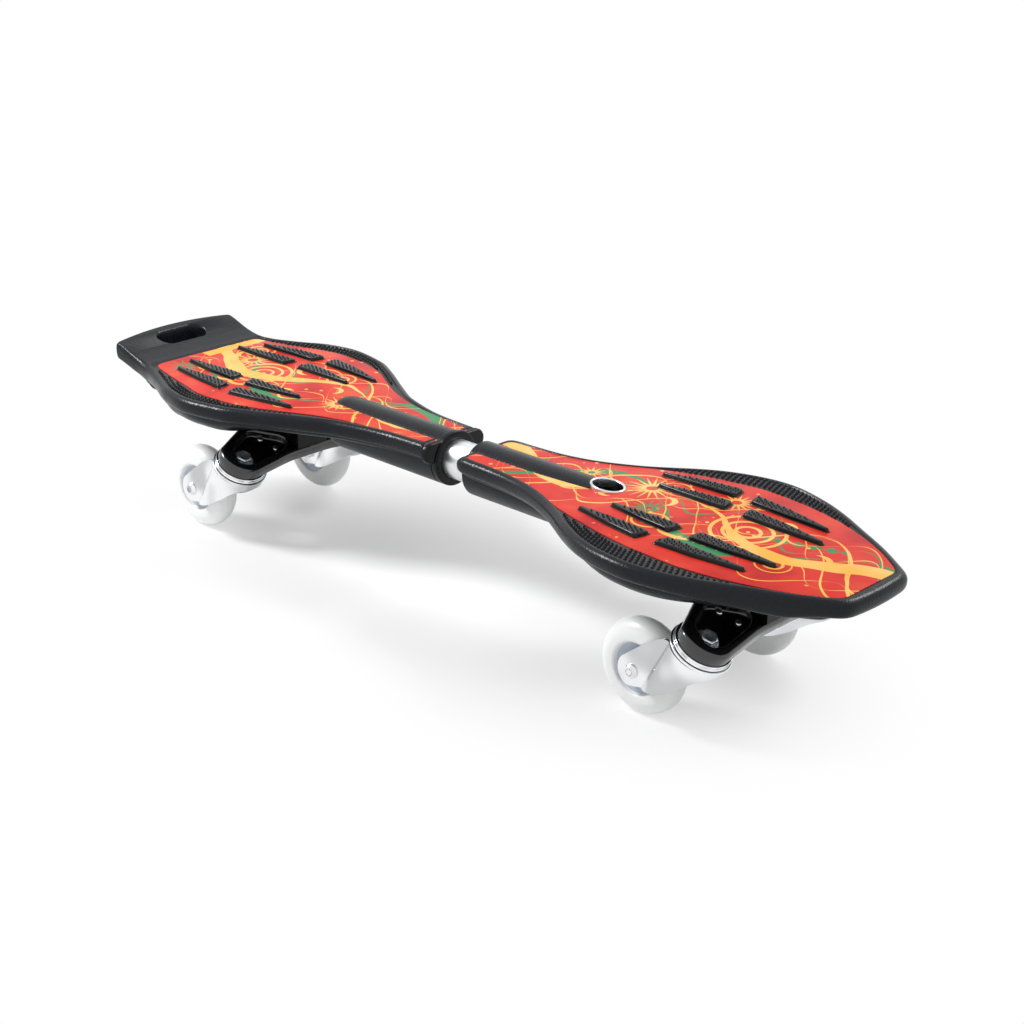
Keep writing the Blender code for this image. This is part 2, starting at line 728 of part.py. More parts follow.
def wheel_profile():
    """The wheel's section. Its facets, and not their corners, lie on the tread's circle."""
    centre = WHEEL_RADIUS / math.cos(math.pi / WHEEL_SIDES) - WHEEL_HALF
    tread = arc((centre, 0), WHEEL_HALF, 0, math.radians(84), 3)
    dish = [(WHEEL_DISH_RADIUS, WHEEL_HALF), (WHEEL_HUB_RADIUS, WHEEL_HUB_WIDTH / 2),
            (BEARING_RADIUS + GAP, WHEEL_HUB_WIDTH / 2)]
    shoulder = BEARING_INNER_FACE - GAP
    seat = [(BEARING_RADIUS + GAP, shoulder), (WHEEL_BORE_RADIUS, shoulder)]
    upper = tread[1:] + dish + seat
    return [tread[0]] + [(r, -z) for r, z in upper] + upper[::-1]


def race_profile(outer, inner, low, high, groove_below):
    """A race's section with a groove for the balls in its lower or its upper face."""
    reach = BALL_RADIUS + GAP
    depth = reach - RACE_SPLIT / 2
    near, far = BALL_CIRCLE_RADIUS - reach, BALL_CIRCLE_RADIUS + reach
    if groove_below:
        return [(outer, high), (outer, low), (far, low), (BALL_CIRCLE_RADIUS, low + depth),
                (near, low), (inner, low), (inner, high)]
    return [(outer, high), (outer, low), (inner, low), (inner, high), (near, high),
            (BALL_CIRCLE_RADIUS, high - depth), (far, high)]


def fork_mesh():
    """The pressed fork: a crown, a skirt round its front and two legs down to the axle."""
    crease = math.asin(FORK_OUTER_HALF / FORK_SKIRT_RADIUS)
    inner_crease = math.asin(FORK_INNER_HALF / (FORK_SKIRT_RADIUS - FORK_SHEET))
    back = TRAIL + FORK_END_RADIUS + FORK_SHEET
    deep = AXLE_DROP + FORK_END_RADIUS + FORK_SHEET
    outer = arc((0, 0), FORK_SKIRT_RADIUS, crease - math.pi, math.pi - crease, 9)
    outer = [(-back, -FORK_OUTER_HALF)] + outer + [(-back, FORK_OUTER_HALF)]
    inner = arc((0, 0), FORK_SKIRT_RADIUS - FORK_SHEET, inner_crease - math.pi,
                math.pi - inner_crease, 9)
    inner = [(-2 * back, -FORK_INNER_HALF)] + inner + [(-2 * back, FORK_INNER_HALF)]
    body = flat_solid("fork_body", outer, [(0, -deep), (0, -CROWN_THICKNESS / 2)])
    hollow = flat_solid("fork_hollow", inner, [(0, -2 * deep), (0, -CROWN_THICKNESS)])

    # Side view as (forward, up): down the front edge, round the axle, up the rear edge
    front = FORK_SKIRT_RADIUS + EASE
    side = [(front, 0), (front, -FORK_SKIRT_EDGE)]
    side += [(0.43 * FORK_SKIRT_RADIUS, -0.50 * AXLE_DROP), (-0.17 * FORK_SKIRT_RADIUS, -0.88 * AXLE_DROP)]
    side += arc((-TRAIL, -AXLE_DROP), FORK_END_RADIUS, math.radians(-20), math.radians(-203), 5)
    side += [(-0.80 * FORK_SKIRT_RADIUS, -FORK_SKIRT_EDGE), (-front, 0)]
    wide = 2 * FORK_SKIRT_RADIUS
    shape = along_y(flat_solid("fork_side", side, [(0, -wide), (0, wide)]))

    target = add_object("fork_work", body)
    limit = add_object("fork_limit", shape)
    join_cut(target, limit, "INTERSECT")
    pressing = baked(target, [limit])
    hole = lying(turned_mesh("axle_hole", [(0, wide), (AXLE_RADIUS + GAP, wide),
                                           (AXLE_RADIUS + GAP, -wide), (0, -wide)],
                             SMALL_SIDES, ring=False), "Y")
    moved(hole, x=-TRAIL, z=-AXLE_DROP)
    pressing = without("fork_pressing", pressing, hollow, hole)
    crown = turned_mesh("crown", race_profile(CROWN_RADIUS, KINGPIN_RADIUS + TURN_GAP,
                                              -CROWN_THICKNESS, 0, False), RING_SIDES)
    pin_hole = turned_mesh("pin_hole", [(0, wide), (KINGPIN_RADIUS + TURN_GAP, wide),
                                        (KINGPIN_RADIUS + TURN_GAP, -wide), (0, -wide)],
                           RING_SIDES, ring=False)
    pressing = without("fork_sides", pressing, pin_hole)
    return united("fork", pressing, crown)


def kingpin_mesh():
    """A flanged hexagon bolt down the swivel axis."""
    seat = BRACKET_FLOOR_TOP + GAP
    flange_top = seat + KINGPIN_FLANGE_HEIGHT
    end = -CROWN_THICKNESS - GAP - KINGPIN_NUT_HEIGHT - KINGPIN_END
    profile = [(0, flange_top + EASE), (KINGPIN_RADIUS, flange_top + EASE),
               (KINGPIN_FLANGE_RADIUS - EASE, flange_top), (KINGPIN_FLANGE_RADIUS, seat + EASE / 2),
               (KINGPIN_FLANGE_RADIUS, seat), (KINGPIN_RADIUS - GAP, seat),
               (KINGPIN_RADIUS - GAP, end), (0, end)]
    shank = turned_mesh("kingpin", profile, SMALL_SIDES, ring=False)
    top = seat + KINGPIN_FLANGE_HEIGHT + KINGPIN_HEAD_HEIGHT
    head = hex_solid("kingpin_head", NUT_FLATS, seat + EASE / 2, top)
    return united("kingpin_bolt", shank, head)


def nut_mesh(name, bore, low, high):
    """A hexagon nut round the Z axis."""
    over, under = high + EASE, low - EASE
    hole = turned_mesh(name + "_hole", [(0, over), (bore, over), (bore, under), (0, under)],
                       SMALL_SIDES, ring=False)
    return without(name, hex_solid(name, NUT_FLATS, low, high), hole)


def axle_mesh():
    """The axle bolt round the Z axis, its button head at the lower end with a hexagon socket."""
    head = FORK_OUTER_HALF + GAP
    end = head + AXLE_NUT_HEIGHT + GAP
    top = -head - AXLE_HEAD_HEIGHT
    profile = [(0, end), (AXLE_RADIUS, end), (AXLE_RADIUS, -head), (AXLE_HEAD_RADIUS, -head),
               (AXLE_HEAD_RADIUS, -head - 0.35 * AXLE_HEAD_HEIGHT),
               (0.72 * AXLE_HEAD_RADIUS, top), (0, top)]
    bolt = turned_mesh("axle", profile, SMALL_SIDES, ring=False)
    socket = hex_solid("axle_socket", AXLE_SOCKET_FLATS, top - EASE, top + AXLE_SOCKET_DEPTH)
    return without("axle_bolt", bolt, socket)


def ball_ring_mesh():
    """The balls in their cage, drawn as one ring that fills both grooves."""
    middle = RACE_SPLIT / 2
    section = arc((BALL_CIRCLE_RADIUS, middle), BALL_RADIUS * 0.92, math.pi / 2, -1.5 * math.pi, 4)
    return turned_mesh("ball_ring", section[:-1], RING_SIDES)


def bracket_half():
    """Left half of the bracket's outline as (forward, left), from front middle to rear middle."""
    lobe = CASTER_TRACK / 2

    def tangent(corner, way):
        """The angle at which a line from a corner touches the lobe."""
        reach = math.hypot(corner[0], corner[1] - lobe)
        return math.atan2(corner[1] - lobe, corner[0]) + way * math.acos(BRACKET_LOBE_RADIUS / reach)

    front = (BRACKET_FRONT_MIDDLE, BRACKET_FRONT_HALF)
    rear = (-BRACKET_REAR, BRACKET_REAR_HALF)
    start = tangent(front, 1)
    end = tangent(rear, -1) + 2 * math.pi
    points = [(BRACKET_FRONT_MIDDLE, 0)]
    reach = BRACKET_FRONT_CORNER
    points += rounded((front[0], front[1] - reach), front, (front[0] + EASE, front[1] + reach), 3)
    points += arc((0, lobe), BRACKET_LOBE_RADIUS, start, end, 8)
    toward = np.array(points[-1]) - rear
    toward *= BRACKET_REAR_CORNER / np.linalg.norm(toward)
    points += rounded(np.array(rear) + toward, rear, (rear[0], rear[1] - BRACKET_REAR_CORNER), 3)
    points.append((rear[0], 0))
    return points


def tray_outline(side):
    """The sunk tray round one kingpin, narrowing towards the bracket's middle."""
    lobe = CASTER_TRACK / 2
    points = arc((0, lobe), BRACKET_TRAY_RADIUS, math.radians(-8), math.radians(160), 7)
    reach = TRAY_CORNER
    rear, rear_y = TRAY_RIM - BRACKET_REAR, lobe - 1.8 * BRACKET_TRAY_RADIUS
    middle, middle_y = -reach / 3, TRAY_MIDDLE
    points += rounded((rear + reach / 3, rear_y + reach), (rear, rear_y),
                      (rear + reach / 2, rear_y - reach), 2)
    points += rounded((middle - reach, middle_y + reach / 3), (middle, middle_y),
                      (middle + 2 * reach / 3, middle_y + 2 * reach / 3), 2)
    points.append((BRACKET_FRONT_MIDDLE - TRAY_RIM + reach / 3, lobe - 2.8 * BRACKET_TRAY_RADIUS))
    return [(x, side * y) for x, y in points]


def bracket_mesh():
    """A deep tray with two lobes: a wide rounded rim and a thin floor that the kingpins pass."""
    half = bracket_half()
    loop = half + [(x, -y) for x, y in reversed(half[1:-1])]
    edge = BRACKET_EDGE
    levels = [(EASE, BRACKET_BOTTOM), (0, BRACKET_BOTTOM + EASE), (0, BRACKET_TOP - edge),
              (0.3 * edge, BRACKET_TOP - 0.3 * edge), (edge, BRACKET_TOP)]
    body = flat_solid("bracket_body", loop, levels)
    cutters = []
    for side in (1, -1):
        cutters.append(flat_solid("tray", tray_outline(side),
                                  [(TRAY_EDGE, BRACKET_FLOOR_TOP), (0, BRACKET_TOP - TRAY_EDGE),
                                   (-TRAY_EDGE, BRACKET_TOP + GAP), (-TRAY_EDGE, 2 * BRACKET_TOP)]))
        hole = sleeve_profile(KINGPIN_RADIUS + GAP, 0, -BRACKET_TOP, 2 * BRACKET_TOP)
        hole = [hole[3], hole[0], hole[1], hole[2]]
        hole = turned_mesh("kingpin_hole", hole, SMALL_SIDES, ring=False)
        cutters.append(moved(hole, y=side * CASTER_TRACK / 2))
    return without("bracket", body, *cutters)


def wedge_mesh(half):
    """The wedge between a level belly and the leaning bracket, as wide as the bracket's middle."""
    rear = over_bracket(half.caster_x, -BRACKET_REAR + BRACKET_EDGE)
    front = over_bracket(half.caster_x, BRACKET_FRONT_MIDDLE - BRACKET_EDGE)
    inside = [x for x in np.unique([x for x, _ in half.shell_outline()]) if rear[0] < x < front[0]]
    side = [rear, front] + [(x, half.belly_line(x) - GAP) for x in (front[0], *inside[::-1], rear[0])]
    body = flat_solid(half.name + "_wedge", side, [(0, -WEDGE_HALF_WIDTH), (0, WEDGE_HALF_WIDTH)])
    return along_y(body)


def wheel_mesh():
    """The wheel, turned so that a facet meets the ground."""
    mesh = turned_mesh("wheel", wheel_profile(), WHEEL_SIDES)
    mesh.transform(Matrix.Rotation(math.pi / WHEEL_SIDES, 4, "Z"))
    return lying(mesh, "Y")


def caster_meshes():
    """The meshes that the four casters share, drawn round the swivel axis or round the wheel's."""
    bore = AXLE_RADIUS + GAP
    bearing = [(BEARING_RADIUS, BEARING_WIDTH / 2), (BEARING_RADIUS, -BEARING_WIDTH / 2),
               (bore, -BEARING_WIDTH / 2), (bore, BEARING_WIDTH / 2)]
    spacer_half = BEARING_INNER_FACE - GAP
    nut_low = FORK_OUTER_HALF + GAP
    king_low = -CROWN_THICKNESS - GAP - KINGPIN_NUT_HEIGHT
    race = race_profile(RACE_RADIUS, KINGPIN_RADIUS + GAP, RACE_BOTTOM, RACE_TOP, True)
    return {
        "kingpin_bolt": kingpin_mesh(),
        "kingpin_nut": nut_mesh("kingpin_nut", KINGPIN_RADIUS, king_low, king_low + KINGPIN_NUT_HEIGHT),
        "upper_race": turned_mesh("upper_race", race, RING_SIDES),
        "ball_ring": ball_ring_mesh(),
        "fork": fork_mesh(),
        "axle_bolt": lying(axle_mesh(), "Y"),
        "axle_nut": lying(nut_mesh("axle_nut", bore, nut_low, nut_low + AXLE_NUT_HEIGHT), "Y"),
        "wheel": wheel_mesh(),
        "bearing": lying(turned_mesh("bearing", bearing, SMALL_SIDES), "Y"),
        "spacer": lying(turned_mesh("spacer", sleeve_profile(bore + SPACER_WALL, bore, -spacer_half,
                                                             spacer_half), SMALL_SIDES), "Y"),
    }


def empty_at(name, frame, parent=None):
    """An empty on a joint's axis."""
    made = bpy.data.objects.new(name, None)
    PARTS.objects.link(made)
    made.matrix_world = frame
    attach(made, parent)
    return made


def attach(item, parent):
    """Parents an item and keeps it where it is."""
    if parent is None:
        return
    frame = item.matrix_world.copy()
    bpy.context.view_layer.update()
    item.parent = parent
    item.matrix_parent_inverse = parent.matrix_world.inverted()
    item.matrix_world = frame


def place(name, mesh, finish, frame, parent):
    made = add_object(name, mesh, finish)
    made.matrix_world = frame
    attach(made, parent)
    return made


def make_caster(name, x, side, deck_body, meshes, finishes):
    """One caster: what stays on the bracket, what swivels and what rolls."""
    centre = Matrix.Translation((x, side * CASTER_TRACK / 2, SWIVEL_HEIGHT))
    lean = centre @ Matrix.Rotation(CASTER_LEAN, 4, "Y")
    axle = lean @ Matrix.Translation((-TRAIL, 0, -AXLE_DROP)) @ Matrix.Rotation(-CASTER_LEAN, 4, "Y")
    outward = axle @ Matrix.Rotation(0 if side > 0 else math.pi, 4, "Z")
    for piece in ("kingpin_bolt", "kingpin_nut", "upper_race", "ball_ring"):
        place(f"{name}_{piece}", meshes[piece], finishes[piece], lean, deck_body)
    swivel = empty_at(f"{name}_swivel_axis", lean, deck_body)
    place(f"{name}_fork", meshes["fork"], finishes["fork"], lean, swivel)
    for piece in ("axle_bolt", "axle_nut"):
        place(f"{name}_{piece}", meshes[piece], finishes[piece], outward, swivel)
    roll = empty_at(f"{name}_wheel_axis", axle, swivel)
    place(f"{name}_wheel", meshes["wheel"], finishes["wheel"], axle, roll)
    place(f"{name}_spacer", meshes["spacer"], finishes["spacer"], axle, roll)
    middle = BEARING_OUTER_FACE - BEARING_WIDTH / 2
    for label, y in (("outer", side * middle), ("inner", -side * middle)):
        place(f"{name}_{label}_bearing", meshes["bearing"], finishes["bearing"],
              axle @ Matrix.Translation((0, y, 0)), roll)


def tube_line_mesh(name, outer, inner, start, end):
    """A sleeve along the tube's axis between two places on X."""
    return moved(lying(turned_mesh(name, sleeve_profile(outer, inner, start, end), TUBE_SIDES)),
                 z=TUBE_HEIGHT)


def torsion_bar_mesh(start, end):
    """The spring bar with its wide front head."""
    head = TUBE_RADIUS - TUBE_WALL - GAP
    profile = [(0, end), (head, end), (head, end - BAR_HEAD_LENGTH),
               (TORSION_BAR_RADIUS, end - BAR_HEAD_LENGTH), (TORSION_BAR_RADIUS, start), (0, start)]
    return moved(lying(turned_mesh("torsion_bar", profile, RING_SIDES, ring=False)), z=TUBE_HEIGHT)


def neck_cap_mesh():
    """The black end cap of the rear neck: a plate with two ears, a collar and a bush for the tube."""
    face = REAR_NECK_X + GAP
    front = face + CAP_THICKNESS - COLLAR_LENGTH
    middle = DECK_HEIGHT - CAP_HEIGHT / 2 + EASE
    corner = CAP_HEIGHT / 2
    inner = CAP_HALF_WIDTH - corner
    side = arc((inner, 0), corner, -math.pi / 2, math.pi / 2, 5)
    side += arc((-inner, 0), corner, math.pi / 2, 1.5 * math.pi, 5)
    plate = flat_solid("neck_plate", side, [(0, face), (0, front - EASE), (EASE, front)])
    plate.transform(Matrix(((0, 0, 1, 0), (1, 0, 0, 0), (0, 1, 0, middle), (0, 0, 0, 1))))
    collar_end = front + COLLAR_LENGTH
    bush_end = REAR_NECK_X - NECK_BUSH_LENGTH
    collar = [(COLLAR_RADIUS - EASE, collar_end), (COLLAR_RADIUS, collar_end - EASE),
              (COLLAR_RADIUS, face), (BUSH_RADIUS, face), (BUSH_RADIUS, bush_end),
              (BORE_RADIUS, bush_end), (BORE_RADIUS, collar_end)]
    collar = moved(lying(turned_mesh("collar", collar, TUBE_SIDES)), z=TUBE_HEIGHT)
    hole = bore_mesh("cap_hole", [(face - CAP_THICKNESS, BORE_RADIUS),
                                  (collar_end + CAP_THICKNESS, BORE_RADIUS)])
    return united("neck_cap", without("neck_plate", plate, hole), collar)


def bezel_mesh(half):
    """The oval ring round the window, whose top slopes down with the ridge."""
    rear_top = TUBE_HEIGHT + RIDGE_RADIUS + BEZEL_PROUD
    front_top = float(half.top(np.array(WINDOW_X + WINDOW_HALF_LENGTH))) + BEZEL_PROUD
    foot = rear_top - BEZEL_DEPTH

    def ring(name, grow, low, proud):
        loop = ellipse((WINDOW_X, 0), WINDOW_HALF_LENGTH + grow, WINDOW_HALF_WIDTH + grow, RING_SIDES)
        share = (loop[:, 0] - WINDOW_X + WINDOW_HALF_LENGTH) / (2 * WINDOW_HALF_LENGTH)
        tops = rear_top + (front_top - rear_top) * share + proud
        return flat_solid(name, loop, [(0, low), (0, tops)])

    return without("bezel", ring("bezel", 0, foot, 0), ring("bezel_hole", -BEZEL_WALL, 0, EASE))


def build():
    plastic = material("deck_plastic", (0.035, 0.037, 0.042), 0.55)
    shell_plastic = material("shell_plastic", (0.05, 0.05, 0.055), 0.5)
    print_red = material("decal_print", (0.72, 0.05, 0.03), 0.35)
    aluminium = material("tube_aluminium", (0.75, 0.76, 0.78), 0.32, 1.0)
    cap_plastic = material("cap_plastic", (0.02, 0.02, 0.022), 0.4)
    gloss_black = material("bracket_paint", (0.01, 0.01, 0.012), 0.15)
    wedge_plastic = material("wedge_plastic", (0.02, 0.02, 0.02), 0.6)
    zinc = material("fork_zinc", (0.72, 0.75, 0.80), 0.25, 1.0)
    race_zinc = material("race_zinc", (0.80, 0.82, 0.85), 0.15, 1.0)
    blue_zinc = material("bolt_zinc", (0.42, 0.52, 0.58), 0.3, 1.0)
    steel = material("bearing_steel", (0.55, 0.56, 0.58), 0.25, 1.0)
    urethane = material("wheel_urethane", (0.90, 0.91, 0.90), 0.35)
    nylon = material("bush_nylon", (0.85, 0.84, 0.80), 0.5)
    bezel_silver = material("bezel_silver", (0.78, 0.79, 0.80), 0.22, 1.0)
    finishes = {
        "kingpin_bolt": blue_zinc, "kingpin_nut": race_zinc, "upper_race": race_zinc,
        "ball_ring": steel, "fork": zinc, "axle_bolt": race_zinc, "axle_nut": race_zinc,
        "wheel": urethane, "bearing": steel, "spacer": steel,
    }

    front = Half("front", FRONT_NECK_X, 1, FRONT_DECK_LENGTH, SHELL_FRONT_LENGTH, FRONT_CASTER_X,
                 FRONT_FOOT_FROM_NECK, FRONT_OUTLINE, FRONT_DECAL_OUTLINE, FRONT_RISE, FRONT_BELLY)
    rear = Half("rear", REAR_NECK_X, -1, REAR_DECK_LENGTH, SHELL_REAR_LENGTH, REAR_CASTER_X,
                REAR_FOOT_FROM_NECK, REAR_OUTLINE, REAR_DECAL_OUTLINE, REAR_RISE, REAR_BELLY)
    twist = empty_at("twist_axis", Matrix.Translation((REAR_NECK_X, 0, TUBE_HEIGHT)))
    level = Matrix.Identity(4)

    # Bores through each half for the tube, its bushes and the bar's anchor
    inner_bush_end = REAR_NECK_X - INNER_BUSH_DEPTH
    inner_bush_start = inner_bush_end - INNER_BUSH_LENGTH
    neck_bush_start = REAR_NECK_X - NECK_BUSH_LENGTH
    tube_room = TUBE_START_X - TURN_GAP
    anchor_start = tube_room - ANCHOR_LENGTH
    rear_bore = add_object("rear_bore", bore_mesh("rear_bore", [
        (anchor_start - GAP, ANCHOR_RADIUS + GAP), (tube_room, TUBE_RADIUS + TURN_GAP),
        (inner_bush_start - GAP, SEAT_RADIUS), (inner_bush_end + GAP, TUBE_RADIUS + TURN_GAP),
        (neck_bush_start - GAP, SEAT_RADIUS), (FRONT_NECK_X, SEAT_RADIUS)]))
    front_bore = add_object("front_bore", bore_mesh("front_bore", [
        (REAR_NECK_X, BORE_RADIUS), (TUBE_END_X + GAP, BORE_RADIUS)]))

    # Decks, decals and lower shells
    front_deck = make_deck(front, plastic, NOSE_BULGE, NOSE_CORNER, RIDGE_FRONT_DEPTH,
                           FRONT_DECAL_START, FRONT_DECAL_END)
    rear_deck = make_deck(rear, plastic, TAIL_BULGE, TAIL_CORNER, RIDGE_REAR_DEPTH,
                          REAR_DECAL_START, REAR_DECAL_END)
    window = add_object("window_cut", window_mesh("window_cut", GAP, TUBE_HEIGHT, 2 * DECK_HEIGHT))
    front_decal = make_decal(front, print_red, FRONT_DECAL_START, FRONT_DECAL_END, RIDGE_FRONT_DEPTH)
    rear_decal = make_decal(rear, print_red, REAR_DECAL_START, REAR_DECAL_END, RIDGE_REAR_DEPTH)
    window_room = window_mesh("window_room", 2 * GAP, TUBE_HEIGHT, 2 * DECK_HEIGHT)
    join_cut(front_decal, add_object("window_room", window_room), "DIFFERENCE")
    front_shell = make_shell(front, shell_plastic, RIDGE_FRONT_DEPTH + RIDGE_TAPER)
    rear_shell = make_shell(rear, shell_plastic, RIDGE_REAR_DEPTH)
    for number in range(TAIL_RIBS):
        rib = add_object(f"tail_rib_{number}", tail_rib_mesh(rear, number))
        join_cut(rear_shell, rib, "UNION")
    for item in (front_deck, front_shell):
        join_cut(item, front_bore, "DIFFERENCE")
        join_cut(item, window, "DIFFERENCE")
    for item in (rear_deck, rear_shell):
        join_cut(item, rear_bore, "DIFFERENCE")
    slot_x = rear.x(REAR_DECK_LENGTH - SLOT_FROM_TAIL)
    under_slot = float(rear.parting(np.array(slot_x)))
    slot_collar = slot_mesh("slot_collar", slot_x, SLOT_COLLAR_WALL, under_slot - SLOT_COLLAR_DEPTH,
                            under_slot + DECK_THICKNESS / 2)
    join_cut(rear_deck, add_object("slot_collar", slot_collar), "UNION")
    slot = add_object("grab_slot", slot_mesh("grab_slot", slot_x, 0, 0, 2 * DECK_HEIGHT))
    join_cut(rear_deck, slot, "DIFFERENCE")
    for item in (rear_deck, rear_decal, rear_shell):
        attach(item, twist)

    # Tube line
    place("torsion_tube", tube_line_mesh("torsion_tube", TUBE_RADIUS, TUBE_RADIUS - TUBE_WALL,
                                         TUBE_START_X, TUBE_END_X), aluminium, level, None)
    bar_end = FRONT_NECK_X + BAR_HEAD_DEPTH
    place("torsion_bar", torsion_bar_mesh(anchor_start, bar_end), steel, level, None)
    place("tube_window_bezel", bezel_mesh(front), bezel_silver, level, None)
    place("neck_cap", neck_cap_mesh(), cap_plastic, level, twist)
    place("inner_bush", tube_line_mesh("inner_bush", BUSH_RADIUS, BORE_RADIUS, inner_bush_start,
                                       inner_bush_end), nylon, level, twist)
    place("bar_anchor", tube_line_mesh("bar_anchor", ANCHOR_RADIUS, TORSION_BAR_RADIUS + GAP,
                                       anchor_start, tube_room - TURN_GAP), steel, level, twist)

    # Brackets, wedges and casters
    meshes = caster_meshes()
    bracket = bracket_mesh()
    for half, parent in ((front, None), (rear, twist)):
        centre = Matrix.Translation((half.caster_x, 0, SWIVEL_HEIGHT))
        lean = centre @ Matrix.Rotation(CASTER_LEAN, 4, "Y")
        place(half.name + "_bracket", bracket, gloss_black, lean, parent)
        place(half.name + "_wedge", wedge_mesh(half), wedge_plastic, level, parent)
        for label, side in (("left", 1), ("right", -1)):
            make_caster(f"{half.name}_{label}", half.caster_x, side, parent, meshes, finishes)


clear_scene()
PARTS = new_collection("caster_board")
CUTTERS = new_collection("cutters")
build()
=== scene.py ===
# %% [markdown]
# # A caster board, dressed for its portrait
#
# The board comes out of the workshop as a set of plain solids that fit and move. This lesson
# gives each of them its looks: fine surfaces where the solids have facets, and finishes such as
# grained plastic, printed vinyl, gloss paint and bright zinc. Nothing is moved or resized: each
# new surface takes the place and the sizes of the solid that it stands for.

# %% Load the solids
import json
import math

import bmesh
import bpy
import numpy as np
from mathutils import Matrix, Vector

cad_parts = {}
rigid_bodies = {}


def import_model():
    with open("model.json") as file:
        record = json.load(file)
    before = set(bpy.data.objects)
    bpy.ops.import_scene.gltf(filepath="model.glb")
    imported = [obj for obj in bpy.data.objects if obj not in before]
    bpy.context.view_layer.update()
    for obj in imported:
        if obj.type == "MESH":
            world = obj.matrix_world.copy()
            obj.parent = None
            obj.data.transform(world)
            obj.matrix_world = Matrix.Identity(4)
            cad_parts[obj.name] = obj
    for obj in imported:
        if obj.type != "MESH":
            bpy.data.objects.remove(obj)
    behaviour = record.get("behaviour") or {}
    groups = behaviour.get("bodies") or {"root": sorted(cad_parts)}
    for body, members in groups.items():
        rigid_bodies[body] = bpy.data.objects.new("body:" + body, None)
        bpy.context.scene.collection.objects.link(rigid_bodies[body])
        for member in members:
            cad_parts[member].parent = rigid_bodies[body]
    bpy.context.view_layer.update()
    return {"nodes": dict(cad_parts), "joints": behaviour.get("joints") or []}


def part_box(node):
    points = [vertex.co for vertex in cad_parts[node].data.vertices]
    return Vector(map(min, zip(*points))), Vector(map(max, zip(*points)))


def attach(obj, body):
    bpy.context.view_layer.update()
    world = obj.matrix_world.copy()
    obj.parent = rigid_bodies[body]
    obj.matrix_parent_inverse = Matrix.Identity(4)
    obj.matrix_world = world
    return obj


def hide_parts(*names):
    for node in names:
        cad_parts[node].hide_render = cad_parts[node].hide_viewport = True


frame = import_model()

MM = 0.001
joints = {joint["name"]: joint for joint in frame["joints"]}

# %% [markdown]
# ## Surfaces as grids
#
# A surface with two parameters is a grid of points: one parameter picks the row and the other
# the column. numpy works the whole grid out at once, and four neighbours make each face. Every
# piece below is one or more such grids, joined where their edges meet.


# %% Points and outlines
def mm(*points):
    """Points given in millimetres."""
    return np.array(points, float) * MM


def circle(count):
    """Evenly spread angles round a circle."""
    return np.linspace(0, 2 * np.pi, count, endpoint=False)


def directions(turn):
    """Unit vectors (cos t, sin t)."""
    return np.column_stack([np.cos(turn), np.sin(turn)])


def arc(centre, radius, start, end, steps=24):
    """Points along an arc between two angles in degrees."""
    return centre + radius * directions(np.radians(np.linspace(start, end, steps)))


def xyz(x, y, z):
    """Points from their three coordinates: each is an array, or one number for all of them."""
    return np.stack(np.broadcast_arrays(x, y, z), axis=-1)


# %% Rounded corners
def rounded(corners, reach, steps=5, ring=False):
    """A path whose corners are parabolas: (1-t)^2 start + 2t(1-t) corner + t^2 end.

    Each starts and ends at reach from its corner, or at half the way to the next one.
    """
    corners = np.array(corners, float)
    t = np.linspace(0, 1, steps)[:, None]
    ends = []
    for way in (1, -1):
        step = np.roll(corners, way, axis=0) - corners
        length = np.linalg.norm(step, axis=1)[:, None]
        ends.append(corners + step * np.minimum(reach / length, 0.5))
    before, after = (end[:, None, :] for end in ends)
    path = (1 - t) ** 2 * before + 2 * t * (1 - t) * corners[:, None, :] + t ** 2 * after
    if ring:
        path = path.reshape(-1, 2)
        return np.vstack([path, path[:1]])
    return np.vstack([corners[:1], path[1:-1].reshape(-1, 2), corners[-1:]])


# %% Grids and their faces
def sheet(points, around=True):
    """A grid of points, as rows x columns x 3, with its faces.

    Four neighbours make a face, and around joins the last column to the first.
    """
    rows, columns = points.shape[:2]
    i, j = np.meshgrid(np.arange(rows - 1), np.arange(columns - (not around)), indexing="ij")
    k = (j + 1) % columns
    cells = [i * columns + j, i * columns + k, (i + 1) * columns + k, (i + 1) * columns + j]
    return points.reshape(-1, 3), np.stack(cells, axis=-1).reshape(-1, 4).tolist()


def plug(rings):
    """A stack of rings, closed with one face at each end."""
    flat, faces = sheet(np.stack(rings))
    count = len(rings[0])
    return flat, faces + [list(range(count)), list(range(len(flat) - count, len(flat)))]


# %% Ends of a mirrored stack
def across(count, start=0):
    """Faces that close a ring whose second half mirrors its first, straight across."""
    faces = []
    for i in range(count // 2):
        corners = (i, i + 1, (count - i - 1) % count, (count - i) % count)
        faces.append(tuple(start + corner for corner in dict.fromkeys(corners)))
    return faces


def closed(points):
    """A stack of mirrored rings, closed straight across at its first and its last ring."""
    flat, faces = sheet(points)
    count = points.shape[1]
    return flat, faces + across(count) + across(count, len(flat) - count)


# %% Turned shapes and other frames
def turned(profile, sides=72, flats=None):
    """(radius, height) points carried round the Z axis: x = r cos t, y = r sin t, z = height.

    With flats it is cut to a hexagon: radius = min(profile, flats / 2 / cos(angle from a flat)).
    """
    radius, height = (column[:, None] for column in np.array(profile, float).T)
    turn = circle(sides)
    if flats:
        from_flat = (turn + np.pi / 6) % (np.pi / 3) - np.pi / 6
        radius = np.minimum(radius, flats / 2 / np.cos(from_flat))
    return sheet(xyz(radius * np.cos(turn), radius * np.sin(turn), height))


def in_frame(surface, axes, place, shift=(0, 0, 0)):
    """A surface shifted in its own axes (the rows of axes), then placed in the board's frame."""
    points, faces = surface
    return (points + shift) @ np.array(axes, float) + place, faces


# %% From grids to pieces
CREASE = 32
MERGE_WITHIN = 0.001 * MM


